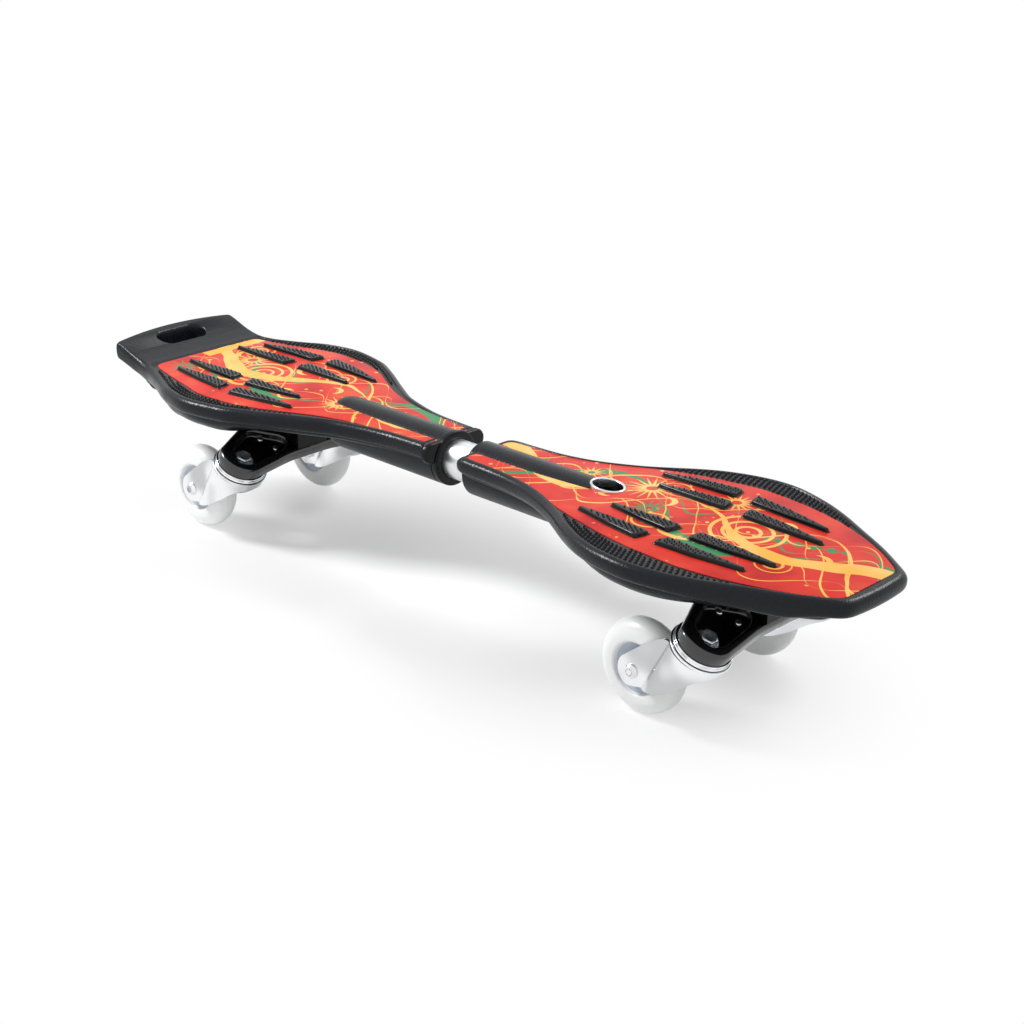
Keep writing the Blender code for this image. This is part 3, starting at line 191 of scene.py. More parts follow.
def smooth(mesh, crease=CREASE):
    """Shades a mesh smooth, apart from edges that turn by more than crease degrees."""
    mesh.shade_smooth()
    mesh.set_sharp_from_angle(angle=math.radians(crease))


def mesh_of(name, surfaces, finishes=(), crease=CREASE):
    """One mesh from several surfaces: doubles merged, faces pointing out, real edges kept sharp."""
    points, faces, start = [], [], 0
    for flat, cells in surfaces:
        points.append(flat)
        faces += [[start + corner for corner in cell] for cell in cells]
        start += len(flat)
    mesh = bpy.data.meshes.new(name)
    mesh.from_pydata(np.vstack(points), [], faces)
    work = bmesh.new()
    work.from_mesh(mesh)
    bmesh.ops.remove_doubles(work, verts=work.verts, dist=MERGE_WITHIN)
    bmesh.ops.recalc_face_normals(work, faces=work.faces)
    work.to_mesh(mesh)
    work.free()
    for finish in finishes:
        mesh.materials.append(finish.material)
    smooth(mesh, crease)
    return mesh


# %% Pieces that ride on a body
def linked(name, data):
    """A new object in the scene."""
    item = bpy.data.objects.new(name, data)
    bpy.context.scene.collection.objects.link(item)
    return item


def make(name, surfaces, finish, body, replaces=(), crease=CREASE):
    """A finished piece: it rides on its body and the solids it stands for."""
    piece = linked(name, mesh_of(name, surfaces, [finish], crease))
    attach(piece, body)
    if replaces:
        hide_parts(*replaces)
    print(name, "has", len(piece.data.polygons), "faces")
    return piece


# %% Cutting
def cut(piece, surface):
    """Takes a closed surface out of a piece, and keeps the result as its mesh."""
    tool = linked("cutter", mesh_of("cutter", [surface]))
    step = piece.modifiers.new("cut", "BOOLEAN")
    step.operation = "DIFFERENCE"
    step.solver = "EXACT"
    step.object = tool
    bpy.context.view_layer.update()
    shaped = piece.evaluated_get(bpy.context.evaluated_depsgraph_get())
    mesh = bpy.data.meshes.new_from_object(shaped)
    piece.modifiers.clear()
    piece.data = mesh
    bpy.data.objects.remove(tool)
    smooth(mesh)
    print(piece.name, "has", len(mesh.polygons), "faces once cut")


# %% [markdown]
# ## Shader maths as sums
#
# A finish is a formula over the surface. A small class wraps a node's output, so that
# `1 - mask` or `noise * 0.2 + 0.3` adds the Math nodes by itself and reads as it would on
# paper. Colours and vectors take their own kinds of node, because a Math node would turn a
# colour grey.


# %% A socket that can be added and multiplied
def operator(operation, swapped=False):
    """A method that adds one maths node."""
    def method(self, other=None):
        return self.combine(operation, *((other, self) if swapped else (self, other)))
    return method


class Signal:
    """An output in a node tree, which Python's operators carry on."""

    __add__, __radd__ = operator("ADD"), operator("ADD", swapped=True)
    __sub__, __rsub__ = operator("SUBTRACT"), operator("SUBTRACT", swapped=True)
    __mul__, __rmul__ = operator("MULTIPLY"), operator("MULTIPLY", swapped=True)
    __abs__, sine = operator("ABSOLUTE"), operator("SINE")
    most, power = operator("MAXIMUM"), operator("POWER")

    def __init__(self, nodes, socket):
        self.nodes = nodes
        self.socket = socket

    def combine(self, operation, first, second=None):
        """Adds a Math node, or a Vector Math node where a value is a vector."""
        vector = any(isinstance(v, Signal) and v.socket.type == "VECTOR" for v in (first, second))
        kind = "ShaderNodeVectorMath" if vector else "ShaderNodeMath"
        values = {0: first} if second is None else {0: first, 1: second}
        return self.nodes.node(kind, {"operation": operation}, values)

    def wrap(self, size):
        """Distance from the nearest multiple of a size: 0 on it, half the size between two."""
        return self.combine("PINGPONG", self, size / 2)

    def ramp(self, start, end):
        """0 at start and 1 at end, eased in and out; start may be the larger."""
        return self.nodes.node("ShaderNodeMapRange", {"interpolation_type": "SMOOTHSTEP"},
                               {"Value": self, "From Min": start, "From Max": end})


# %% A tree that adds nodes
class Nodes:
    """A node tree that adds nodes and feeds their sockets."""

    def __init__(self, tree):
        self.tree = tree

    def node(self, kind, settings=None, values=None, output=0):
        """Adds a node: its settings first, then the values or links of its sockets."""
        made = self.tree.nodes.new(kind)
        for key, value in (settings or {}).items():
            setattr(made, key, value)
        for key, value in (values or {}).items():
            self.feed(made.inputs[key], value)
        return Signal(self, made.outputs[output])

    def feed(self, socket, value):
        """Links a signal to a socket, or sets the socket's own value."""
        if isinstance(value, Signal):
            self.tree.links.new(value.socket, socket)
        elif socket.type == "RGBA" and len(value) == 3:
            socket.default_value = (*value, 1)
        else:
            socket.default_value = value

    def looked_at(self):
        """1 for a ray from the camera, also by way of a mirror or through glass; 0 for light."""
        paths = self.node("ShaderNodeLightPath").socket.node
        camera, glossy, glass = (Signal(self, paths.outputs[f"Is {kind} Ray"])
                                 for kind in ("Camera", "Glossy", "Transmission"))
        return camera.most(glossy).most(glass)


# %% One material
class Finish(Nodes):
    """One material: a Principled shader and the nodes that vary it over the surface."""

    def __init__(self, name, colour, roughness, metallic=0.0, coat=0.0, coat_roughness=0.05, gloss=0.5):
        self.name = name
        self.material = bpy.data.materials.new(name)
        self.material.use_nodes = True
        self.material.diffuse_color = (*colour, 1)
        super().__init__(self.material.node_tree)
        self.shader = self.tree.nodes["Principled BSDF"]
        plain = {"Base Color": colour, "Roughness": roughness, "Metallic": metallic,
                 "Coat Weight": coat, "Coat Roughness": coat_roughness, "Specular IOR Level": gloss}
        for key, value in plain.items():
            self.feed(self.shader.inputs[key], value)

    def set(self, **values):
        """Feeds the shader's sockets: base_color goes to Base Color."""
        for key, value in values.items():
            self.feed(self.shader.inputs[key.replace("_", " ").title()], value)

    def place(self, scale=(1, 1, 1)):
        """Object coordinates in millimetres, scaled along each axis."""
        return self.node("ShaderNodeTexCoord", output=3) * tuple(factor / MM for factor in scale)

    def noise(self, place, size, detail=2.0):
        """Soft noise whose blots are about size across, from 0 to 1."""
        return self.node("ShaderNodeTexNoise", {}, {"Vector": place, "Scale": 1 / size, "Detail": detail})

    def cells(self, place, size, feature="F1"):
        """Distance from the nearest of scattered points about size apart."""
        return self.node("ShaderNodeTexVoronoi", {"feature": feature},
                         {"Vector": place, "Scale": 1 / size})

    def blend(self, share, first, second):
        """A colour that goes from the first to the second as share goes from 0 to 1."""
        return self.node("ShaderNodeMix", {"data_type": "RGBA"}, {0: share, 6: first, 7: second}, output=2)

    def relief(self, height, depth, strength):
        """Bump from a height of 0 to 1 that stands for a real depth."""
        self.set(normal=self.node("ShaderNodeBump", {},
                                  {"Height": height, "Distance": depth, "Strength": strength}))
        return self


# %% [markdown]
# ## Camera, light and floor
#
# The portrait is taken from the front right, a little above the deck, with a long lens, which
# keeps the far tail nearly as large as the near nose. The studio is white: a floor that keeps
# only the board's soft shadow, a strong lamp from the left and a weaker one behind.

# %% Camera
LENS, SENSOR = 69.05, 36.0
EYE = np.array((1.0877, -1.0879, 0.6912))
YAW, PITCH, ROLL = (math.radians(angle) for angle in (43.66, 22.04, 0.40))

ahead = np.array((-math.sin(YAW) * math.cos(PITCH), math.cos(YAW) * math.cos(PITCH), -math.sin(PITCH)))
level = np.array((math.cos(YAW), math.sin(YAW), 0.0))
upright = np.cross(level, ahead)
right = math.cos(ROLL) * level + math.sin(ROLL) * upright
up = math.cos(ROLL) * upright - math.sin(ROLL) * level

camera = linked("camera", bpy.data.cameras.new("camera"))
camera.data.lens = LENS
camera.data.sensor_width = SENSOR
camera.matrix_world = Matrix([(*row, 0) for row in np.column_stack([right, up, -ahead])] + [(0, 0, 0, 1)])
camera.location = EYE
bpy.context.scene.camera = camera
print("camera at", np.round(EYE, 3), "m, looking along", np.round(ahead, 3))

# %% Floor
FLOOR_HALF = 9.0
SHADOW_DEPTH, SHADOW_NEAR, SHADOW_FAR = 0.90, 0.06, 0.25
SHADOW_SHAPE = (0.55 * MM, 1.0 * MM, 0)

floor_finish = Finish("floor", (0.96, 0.96, 0.965), 0.9, gloss=0.0)
far = floor_finish.node("ShaderNodeVectorMath", {"operation": "LENGTH"},
                        {0: floor_finish.place(SHADOW_SHAPE)}, output=1)
white_share = far.ramp(SHADOW_NEAR, SHADOW_FAR) * SHADOW_DEPTH + (1 - SHADOW_DEPTH)
glow = floor_finish.node("ShaderNodeEmission", {}, {"Color": (1, 1, 1), "Strength": 1.0})
lit = Signal(floor_finish, floor_finish.shader.outputs[0])
both = floor_finish.node("ShaderNodeMixShader", {},
                         {0: floor_finish.looked_at() * white_share, 1: lit, 2: glow})
floor_finish.feed(floor_finish.tree.nodes["Material Output"].inputs[0], both)

floor_mesh = bpy.data.meshes.new("floor")
floor_mesh.from_pydata(np.array([(-1, -1, 0), (1, -1, 0), (1, 1, 0), (-1, 1, 0)]) * FLOOR_HALF,
                       [], [(0, 1, 2, 3)])
floor_mesh.materials.append(floor_finish.material)
linked("floor", floor_mesh)
print("floor:", 2 * FLOOR_HALF, "m wide")

# %% World and lamps
FILL = 0.42
LAMP_TARGET = Vector((0, 0, 0.1))
LAMPS = (("key", (-1.55, -1.0, 1.75), 0.6, 46), ("top", (0.45, 1.5, 1.6), 0.8, 20))

world = bpy.data.worlds.new("studio")
world.use_nodes = True
bpy.context.scene.world = world
studio = Nodes(world.node_tree)
background = world.node_tree.nodes["Background"].inputs
studio.feed(background["Strength"], studio.looked_at() * (1 - FILL) + FILL)
studio.feed(background["Color"], (1, 1, 1))

for name, place, size, power in LAMPS:
    lamp = linked(name, bpy.data.lights.new(name, "AREA"))
    lamp.data.size = size
    lamp.data.energy = power
    lamp.location = place
    lamp.rotation_mode = "QUATERNION"
    lamp.rotation_quaternion = (LAMP_TARGET - Vector(place)).to_track_quat("-Z", "Y")
bpy.context.scene.view_settings.view_transform = "Standard"
print("lamps:", len(LAMPS))

# %% [markdown]
# ## Finishes
#
# The decks' plastic isn't smooth: its mould was etched, which leaves a fine leathery grain
# that breaks a highlight into glints. Zinc plate on pressed steel is bright with a soft cloud
# in its gloss, and on the forks the same cloud darkens the colour in wide patches, which are
# painted reflections. The bracket's paint is thick and slightly wavy. Each finish below is such
# a story told with noise.


# %% Grained, satin and gloss plastics
def shaded(colour, factor):
    """A colour made darker, or lighter with a factor above 1."""
    return tuple(channel * factor for channel in colour)


def grained(name, colour, roughness, grain=1.5, depth=0.10 * MM, gloss=0.2):
    """Etched plastic: rounded cells about grain millimetres across, and a cloud in the gloss."""
    finish = Finish(name, colour, roughness, gloss=gloss)
    place = finish.place()
    pebbles = finish.cells(place, grain, "SMOOTH_F1").ramp(0.75, 0.05)
    shade = finish.noise(place, 3, 3).ramp(0.3, 0.7)
    finish.set(roughness=finish.noise(place, 14) * 0.16 + (roughness - 0.08),
               base_color=finish.blend(shade, shaded(colour, 0.85), shaded(colour, 1.2)))
    return finish.relief(pebbles, depth, 0.9)


def moulded(name, colour, roughness, waviness=0.05 * MM, coat=0.0, gloss=0.5):
    """Smooth plastic or paint: a shallow swell over the surface and a little cloud in the gloss."""
    finish = Finish(name, colour, roughness, coat=coat, gloss=gloss)
    place = finish.place()
    finish.set(roughness=finish.noise(place, 9) * 0.12 + (roughness - 0.06))
    return finish.relief(finish.noise(place, 4, 1), waviness, 0.5)


def metal(name, colour, roughness, streak=(1, 1, 1), cloud=0.12, shade=0.9, soft=0.12, size=7):
    """Plated or drawn metal: streaks in its gloss, and wide soft clouds in its gloss and colour.

    In the colour the clouds are patches darkened by shade. On the fork, where shade is lowest,
    these patches are painted reflections.
    """
    finish = Finish(name, colour, roughness, metallic=1.0)
    fine = finish.noise(finish.place(streak), 0.5, 3)
    wide = finish.noise(finish.place(), size, 0)
    finish.set(roughness=fine * cloud + wide * cloud + (roughness - cloud),
               base_color=finish.blend(wide.ramp(0.48 - soft, 0.48 + soft), shaded(colour, shade), colour))
    return finish.relief(fine, 0.02 * MM, 0.3)


# %% The finishes
deck_plastic = grained("deck_plastic", (0.007, 0.008, 0.012), 0.27, gloss=0.22)
shell_plastic = grained("shell_plastic", (0.009, 0.010, 0.013), 0.32, 1.3, 0.06 * MM)
pad_plastic = moulded("pad_plastic", (0.004, 0.004, 0.005), 0.20, gloss=0.3)
stud_plastic = moulded("stud_plastic", (0.003, 0.003, 0.004), 0.24, gloss=0.3)
cap_plastic = moulded("cap_plastic", (0.005, 0.005, 0.006), 0.26, gloss=0.2)
bracket_paint = moulded("bracket_paint", (0.005, 0.005, 0.006), 0.20, 0.06 * MM, coat=0.6, gloss=0.6)
tube_aluminium = metal("tube_aluminium", (0.86, 0.87, 0.89), 0.34, streak=(4, 0.15, 0.15))
# The fork's colour clouds fall to 0.62 of its colour: darker patches that are painted reflections.
fork_zinc = metal("fork_zinc", (0.93, 0.94, 0.96), 0.20, shade=0.62, soft=0.2, size=24)
race_zinc = metal("race_zinc", (0.92, 0.93, 0.95), 0.12, cloud=0.05, shade=0.8)
bolt_zinc = metal("bolt_zinc", (0.80, 0.88, 0.92), 0.38)
bearing_steel = metal("bearing_steel", (0.55, 0.56, 0.58), 0.25)
bezel_silver = metal("bezel_silver", (0.80, 0.81, 0.82), 0.20)
wheel_urethane = moulded("wheel_urethane", (0.93, 0.935, 0.93), 0.30, 0.01 * MM, gloss=0.4)
# The hub's blue-grey colour is painted shade and reflection in the recess of the white wheel.
hub_plastic = moulded("hub_plastic", (0.50, 0.57, 0.66), 0.30, 0.02 * MM)
print("materials so far:", len(bpy.data.materials))

# %% [markdown]
# ## The shape of a foot deck
#
# Each deck is a slab whose outline swells from a narrow neck to the foot and narrows again. A
# few points give the outline's half width along the deck, and a curve through them that turns
# only where they do keeps it fair. The neck, the length and the height come from the solids.


# %% A curve through a few points
def fair_curve(points):
    """A cubic between each two points, with slopes that never overshoot them.

    The slope at a point is the harmonic mean of the rises on its two sides, or 0 at a peak.
    """
    xs, ys = np.array(points, float).T
    rises = np.diff(ys) / np.diff(xs)
    slopes = np.zeros(len(xs))
    steady = np.flatnonzero(rises[:-1] * rises[1:] > 0)
    slopes[steady + 1] = 2 / (1 / rises[steady] + 1 / rises[steady + 1])
    slopes[[0, -1]] = rises[[0, -1]]

    def value(at):
        place = np.clip(np.searchsorted(xs, at) - 1, 0, len(xs) - 2)
        width = xs[place + 1] - xs[place]
        t = np.clip((at - xs[place]) / width, 0, 1)
        start = (1 + 2 * t) * (1 - t) ** 2 * ys[place] + t * (1 - t) ** 2 * width * slopes[place]
        end = t * t * (3 - 2 * t) * ys[place + 1] + t * t * (t - 1) * width * slopes[place + 1]
        return start + end

    return value


# %% A softened outline
def soften(loop, steps):
    """Rounds the corners of a closed loop: each point becomes the mean of its neighbours, twice."""
    for _ in range(2):
        loop = sum(np.roll(loop, shift, axis=0) for shift in range(-steps, steps + 1)) / (2 * steps + 1)
    return loop


# %% Sizes that both decks share
TUBE_HEIGHT = joints["deck_twist"]["pos_m"][2]
TUBE_RADIUS = 17 * MM
DECK_HEIGHT = TUBE_HEIGHT + 18 * MM
DECK_THICKNESS = 12.5 * MM
DECK_HALF_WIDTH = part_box("front_deck")[1].y
SIDE_POINTS, END_POINTS = 300, 30
LEAST_WIDTH = 0.5 * MM
print("deck top at", round(DECK_HEIGHT / MM, 1), "mm")


# %% A foot deck
class Foot:
    """One foot deck: where its neck is, which way it runs and its curves along that way."""

    def __init__(self, name, way, foot, bulge, corner, edge, **tables):
        low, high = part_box(name + "_deck")
        self.name = name
        self.body = name + "_half"
        self.way = way
        self.neck_x = low.x if way > 0 else high.x
        self.length = high.x - low.x
        self.foot = foot
        self.bulge = bulge
        self.corner = corner
        self.edge = fair_curve(edge)
        self.share_curves = {key: fair_curve(points) for key, points in tables.items()}

    def x(self, distance):
        return self.neck_x + self.way * distance

    def curve(self, key, distance):
        return self.share_curves[key](distance / self.length)

    def at(self, key, x):
        return self.curve(key, (x - self.neck_x) * self.way)

    def half_width(self, distance):
        return DECK_HALF_WIDTH * self.curve("outline", distance)

    def decal_width(self, distance):
        return DECK_HALF_WIDTH * self.curve("decal", distance)

    def top(self, x):
        return DECK_HEIGHT + self.at("rise", x)

    def loop(self, width, start, end, inset, bulge=0.0, corner=3, spread=None):
        """A closed outline (x, y) with a half width along it, moved in square to itself by inset.

        It runs out from the neck's middle along the left side and back along the right. The inset
        is multiplied by spread, which is the narrowing of the deck's own edge if none is given.
        """
        spread = spread or self.edge
        first, last = start + inset, end - inset * spread(end)
        side = np.linspace(first, last - bulge, SIDE_POINTS)
        slope = np.gradient(width(side), side)
        edge = np.maximum(width(side) - inset * spread(side) * np.sqrt(1 + slope ** 2), LEAST_WIDTH)
        share = np.linspace(0, 1, END_POINTS, endpoint=False)
        near = np.column_stack([np.full(END_POINTS, first), share * edge[0]])
        far = np.column_stack([last - bulge * (1 - share) ** 2, (1 - share) * edge[-1]])[1:]
        left = np.vstack([near, np.column_stack([side, edge]), far, [(last, 0)]])
        loop = soften(np.vstack([left, left[-2:0:-1] * (1, -1)]), corner)
        return np.column_stack([self.x(loop[:, 0]), loop[:, 1]])

    def slab(self, width, start, end, levels, **shape):
        """A closed slab: each level is an inset and a height above the deck's top, or a function."""
        rings = []
        for inset, height in levels:
            loop = self.loop(width, start, end, inset, **shape)
            lift = height(loop[:, 0]) if callable(height) else height
            rings.append(xyz(*loop.T, self.top(loop[:, 0]) + lift))
        return closed(np.stack(rings))


# %% The two feet
rear = Foot(
    "rear", way=-1, foot=229 * MM, bulge=8.0 * MM, corner=1, edge=((335 * MM, 1.0), (372 * MM, 0.4)),
    outline=((0.0, 0.300), (0.10, 0.320), (0.24, 0.437), (0.33, 0.603), (0.41, 0.768), (0.49, 0.902),
             (0.60, 0.968), (0.68, 0.915), (0.776, 0.762), (0.85, 0.660), (0.90, 0.632), (0.965, 0.628)),
    decal=((0.0, 0.213), (0.10, 0.258), (0.20, 0.305), (0.29, 0.400), (0.36, 0.525), (0.44, 0.675),
           (0.515, 0.747), (0.60, 0.765), (0.68, 0.705), (0.76, 0.630), (0.853, 0.545)),
    rise=((0.0, 0.0), (0.15, 0.0), (0.30, 0.0008), (0.48, 0.0022), (0.66, 0.0022), (0.74, 0.0014),
          (0.80, 0.0012), (0.845, 0.0018), (0.90, 0.0058), (0.95, 0.0115), (1.0, 0.0165)),
    belly=((0.0, 0.0090), (0.20, 0.0085), (0.38, 0.0085), (0.46, 0.0110), (0.51, 0.0165),
           (0.57, 0.0195), (0.64, 0.0200), (0.70, 0.0180), (0.76, 0.0160), (0.80, 0.0155),
           (0.815, 0.0125), (0.855, 0.0070), (0.895, 0.0060), (0.912, 0.0015), (0.94, 0.0010)),
    curl=((0.0, 0.5), (0.36, 0.75), (0.46, 0.95), (0.52, 1.05), (0.58, 1.6), (0.64, 1.4), (0.70, 0.6),
          (0.76, 0.25), (0.82, 0.2), (0.95, 0.2)),
    deep=((0.0, 0.0), (0.78, 0.0), (0.87, 0.0020), (1.0, 0.0020)))
front = Foot(
    "front", way=1, foot=234 * MM, bulge=3.0 * MM, corner=5, edge=((0.0, 1.0), (1.0, 1.0)),
    outline=((0.0, 0.315), (0.12, 0.337), (0.21, 0.395), (0.316, 0.555), (0.37, 0.675), (0.423, 0.800),
             (0.486, 0.915), (0.557, 0.985), (0.61, 1.0), (0.69, 0.945), (0.767, 0.832), (0.82, 0.727),
             (0.90, 0.573), (0.985, 0.367)),
    decal=((0.0, 0.250), (0.08, 0.265), (0.20, 0.330), (0.27, 0.405), (0.335, 0.520), (0.41, 0.613),
           (0.50, 0.697), (0.60, 0.747), (0.68, 0.740), (0.75, 0.700), (0.82, 0.622), (0.90, 0.490),
           (0.975, 0.300)),
    rise=((0.0, 0.0), (0.15, 0.0002), (0.30, 0.0014), (0.46, 0.0031), (0.56, 0.0031), (0.70, 0.0012),
          (0.80, -0.0003), (1.0, -0.0045)),
    belly=((0.0, 0.0090), (0.20, 0.0080), (0.33, 0.0085), (0.40, 0.0110), (0.46, 0.0130),
           (0.52, 0.0170), (0.585, 0.0192), (0.66, 0.0182), (0.71, 0.0155), (0.75, 0.0125),
           (0.79, 0.0105), (0.86, 0.0095), (0.93, 0.0080), (1.0, 0.0050)),
    curl=((0.0, 0.4), (0.36, 0.25), (0.42, 0.5), (0.48, 1.5), (0.54, 1.42), (0.60, 1.5), (0.66, 1.4),
          (0.72, 1.17), (0.80, 0.7), (0.95, 0.3)),
    deep=((0.0, 0.0), (0.68, 0.0), (0.80, 0.0030), (0.89, 0.0045), (0.95, 0.0010), (1.0, 0.0)))
FEET = (rear, front)
print("deck lengths in mm:", [round(foot.length / MM, 1) for foot in FEET])

# %% [markdown]
# ## Decks
#
# A deck's edge is a thick round bead that the foot can feel. Inside it the top steps down to a
# channel, so that the printed sheet and the rows of studs lie lower than the bead. The whole
# edge is one profile, given as an inset from the outline and a height, and carried round.
# The tail turns up and has no channel, so the step fades out before it.

# %% Deck profile
BEAD, BEAD_CROWN = 5.6 * MM, 0.5 * MM
CHANNEL_DEPTH = 0.7 * MM
SIDE_TOP, SIDE_FOOT = -5.4 * MM, -6.6 * MM
UNDER_EDGE, UNDER_FLAT = 2.8 * MM, 14 * MM
CHANNEL_STEPS = ((0.7, 0.06), (1.1, 0.5), (1.5, 0.94), (2.2, 1.0))
channel_share = fair_curve(((326 * MM, 1), (333 * MM, 0)))


def deck_levels(foot):
    """The edge's profile: a quarter ellipse under, a short side, one over, and the step down."""
    quarter = np.linspace(0, np.pi / 2, 9)

    def low(share):
        return lambda x: SIDE_FOOT - (DECK_THICKNESS + foot.at("deep", x) + SIDE_FOOT) * share

    def step(share):
        def height(x):
            fade = channel_share((x - foot.neck_x) * foot.way) if foot is rear else 1
            return BEAD_CROWN - share * (BEAD_CROWN + CHANNEL_DEPTH) * fade
        return height

    under = [(UNDER_EDGE * (1 - math.cos(t)), low(math.sin(t))) for t in quarter[::-1]]
    over = [(BEAD * (1 - math.cos(t)), SIDE_TOP + (BEAD_CROWN - SIDE_TOP) * math.sin(t)) for t in quarter]
    down = [(BEAD + inset * MM, step(share)) for inset, share in CHANNEL_STEPS]
    return [(UNDER_FLAT, low(1.0))] + under + over + down


# %% Outlines of the slot and the window
SLOT_X = rear.x(rear.length - 20.5 * MM)
SLOT_HALF, SLOT_RADIUS = 15.5 * MM, 10.5 * MM
WINDOW_X = front.x(138 * MM)
WINDOW_HALF_LENGTH, WINDOW_HALF_WIDTH = 15.5 * MM, 12.5 * MM
NEARLY = 1e-9


def stadium(levels):
    """The slot's outline at each level: two half circles of the slot's radius plus grow."""
    grow, lift = levels.T[:, :, None]
    turn = circle(64)
    x = SLOT_X + (SLOT_RADIUS + grow) * np.cos(turn)
    y = (SLOT_RADIUS + grow) * np.sin(turn) + SLOT_HALF * np.sign(np.sin(turn) + NEARLY)
    return xyz(x, y, rear.top(x) + lift)


def window_oval(height):
    """An ellipse at one height: x = a cos t and y = b sin t."""
    turn = circle(72)
    return xyz(WINDOW_X + WINDOW_HALF_LENGTH * np.cos(turn), WINDOW_HALF_WIDTH * np.sin(turn), height)


# %% Decks
SLOT_LEVELS = mm((3.2, 6), (2.4, 0.9), (1.2, 0.2), (0.35, -0.7), (0, -2.0), (0, -16))
COLLAR_LEVELS = mm((0.05, -11.5), (0.05, -23.1), (0.45, -23.5), (1.5, -23.5), (1.9, -23.1),
                   (1.9, -11.5), (0.05, -11.5))
WINDOW_CLEAR = 30 * MM

slot_plug = plug(stadium(SLOT_LEVELS))
window_plug = plug([window_oval(TUBE_HEIGHT), window_oval(DECK_HEIGHT + WINDOW_CLEAR)])
for foot in FEET:
    body = foot.slab(foot.half_width, 0, foot.length, deck_levels(foot), bulge=foot.bulge, corner=foot.corner)
    deck = make(foot.name + "_deck_top", [body], deck_plastic, foot.body, [foot.name + "_deck"])
    cut(deck, slot_plug if foot is rear else window_plug)
make("slot_collar", [sheet(stadium(COLLAR_LEVELS))], deck_plastic, "rear_half")

# %% [markdown]
# ## Lower shells
#
# Under each deck a dished moulding stiffens it and carries the caster bracket. Its side curls
# in from the parting line to the belly, which is deepest over the bracket. The same outline
# serves again, set in from the deck's edge, and its profile is nearly a quarter ellipse.

# %% A housing along the tube
HOUSING_TAPER = 14 * MM


def housing(foot, radius, depth, sink, side, base, steps=40):
    """A round housing along the tube that ends in a dome; side is 1 above the tube and -1 below.

    Along the last taper its radius falls by sink (1 - cos t), while it runs on by taper sin t.
    Each section is an arc that starts and ends at base from the tube's axis.
    """
    t = np.linspace(0, np.pi / 2, 14)[1:]
    start = depth - HOUSING_TAPER
    distance = np.concatenate([[0, start], start + HOUSING_TAPER * np.sin(t)])
    reach = np.concatenate([[radius, radius], radius - sink * (1 - np.cos(t))])[:, None]
    foot_turn = np.arcsin(np.clip(base / reach, -0.99, 0.99))
    turn = foot_turn + (np.pi - 2 * foot_turn) * np.linspace(0, 1, steps + 1)
    height = TUBE_HEIGHT + side * reach * np.sin(turn)
    return plug(xyz(foot.x(distance)[:, None], reach * np.cos(turn), height))


# %% Lower shells
SHELL_INSET, SHELL_CURL = 8.5 * MM, 26 * MM
CURL_POWER, DROP_POWER = 1.1, 0.8
PARTING_GAP = 0.3 * MM
UNDERSIDE = -DECK_THICKNESS - PARTING_GAP
KEEL_RADIUS = 24 * MM


def shell_level(foot, t):
    """Inset and depth near a quarter ellipse, from the parting line at t = 0 down to the belly."""
    share = math.sin(t) ** DROP_POWER
    return SHELL_CURL * (1 - math.cos(t)) ** CURL_POWER, lambda x: UNDERSIDE - share * foot.at("belly", x)


for foot, end, keel_depth in ((rear, 0, 140 * MM), (front, 1, 162 * MM)):
    length = abs(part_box(foot.name + "_lower_shell")[end].x - foot.neck_x)
    levels = [shell_level(foot, t) for t in np.linspace(0, np.pi / 2, 12)]
    body = foot.slab(lambda s: foot.half_width(s) - SHELL_INSET, 0, length, levels,
                     spread=lambda s: foot.curve("curl", s))
    keel = housing(foot, KEEL_RADIUS, keel_depth, sink=11 * MM, side=-1, base=-4 * MM)
    make(foot.name + "_shell", [body, keel], shell_plastic, foot.body, [foot.name + "_lower_shell"])
    print("it is", round(length / MM), "mm long")

# %% [markdown]
# ## Ribs under the tail
#
# Near the tail, where the shell runs out, five bars cross the underside and stiffen it. They
# show end on in the portrait. Each is one section carried across the deck, and its depth falls
# away at both ends.

# %% Ribs
RIB_STARTS = 324 * MM + 7.0 * MM * np.arange(5)
RIB_DEPTHS = np.linspace(10.0, 5.0, 5) * MM
RIB_HALF, RIB_ROOT, RIB_ROUND = 2.2 * MM, -0.8 * MM, 1.3 * MM
RIB_INSET, RIB_END = 3.0 * MM, 9 * MM


def tail_rib(start, depth):
    """A rounded bar across the tail's underside: at its ends its depth falls as a quarter ellipse."""
    section = rounded([(-RIB_HALF, RIB_ROOT), (RIB_HALF, RIB_ROOT), (RIB_HALF, depth), (-RIB_HALF, depth)],
                      RIB_ROUND, ring=True)[:-1]
    reach = rear.half_width(start + RIB_HALF) - RIB_INSET
    y = reach * np.sin(np.linspace(-np.pi / 2, np.pi / 2, 49))[:, None]
    past = np.clip((np.abs(y) - (reach - RIB_END)) / RIB_END, 0, 1)
    drop = section[:, 1] * np.sqrt(np.maximum(1 - past ** 2, 0.02))
    x = rear.x(start + RIB_HALF + section[:, 0])
    return plug(xyz(x, y, rear.top(x) + UNDERSIDE - drop))


make("tail_ribs", [tail_rib(*rib) for rib in zip(RIB_STARTS, RIB_DEPTHS)], shell_plastic, "rear_half")

# %% [markdown]
# ## Ridge and window
#
# The tube lies just under the deck, so a round ridge stands over it, with a domed end. On the
# front deck an oval ring frames a dark window near the front end of the tube.

# %% Window ring
RIDGE_RADIUS = 22.7 * MM
BEZEL_HALF = 1.1 * MM
BEZEL_PROUD, BEZEL_DEPTH, BEZEL_SLANT = 1.2 * MM, 8.5 * MM, 0.6 * MM


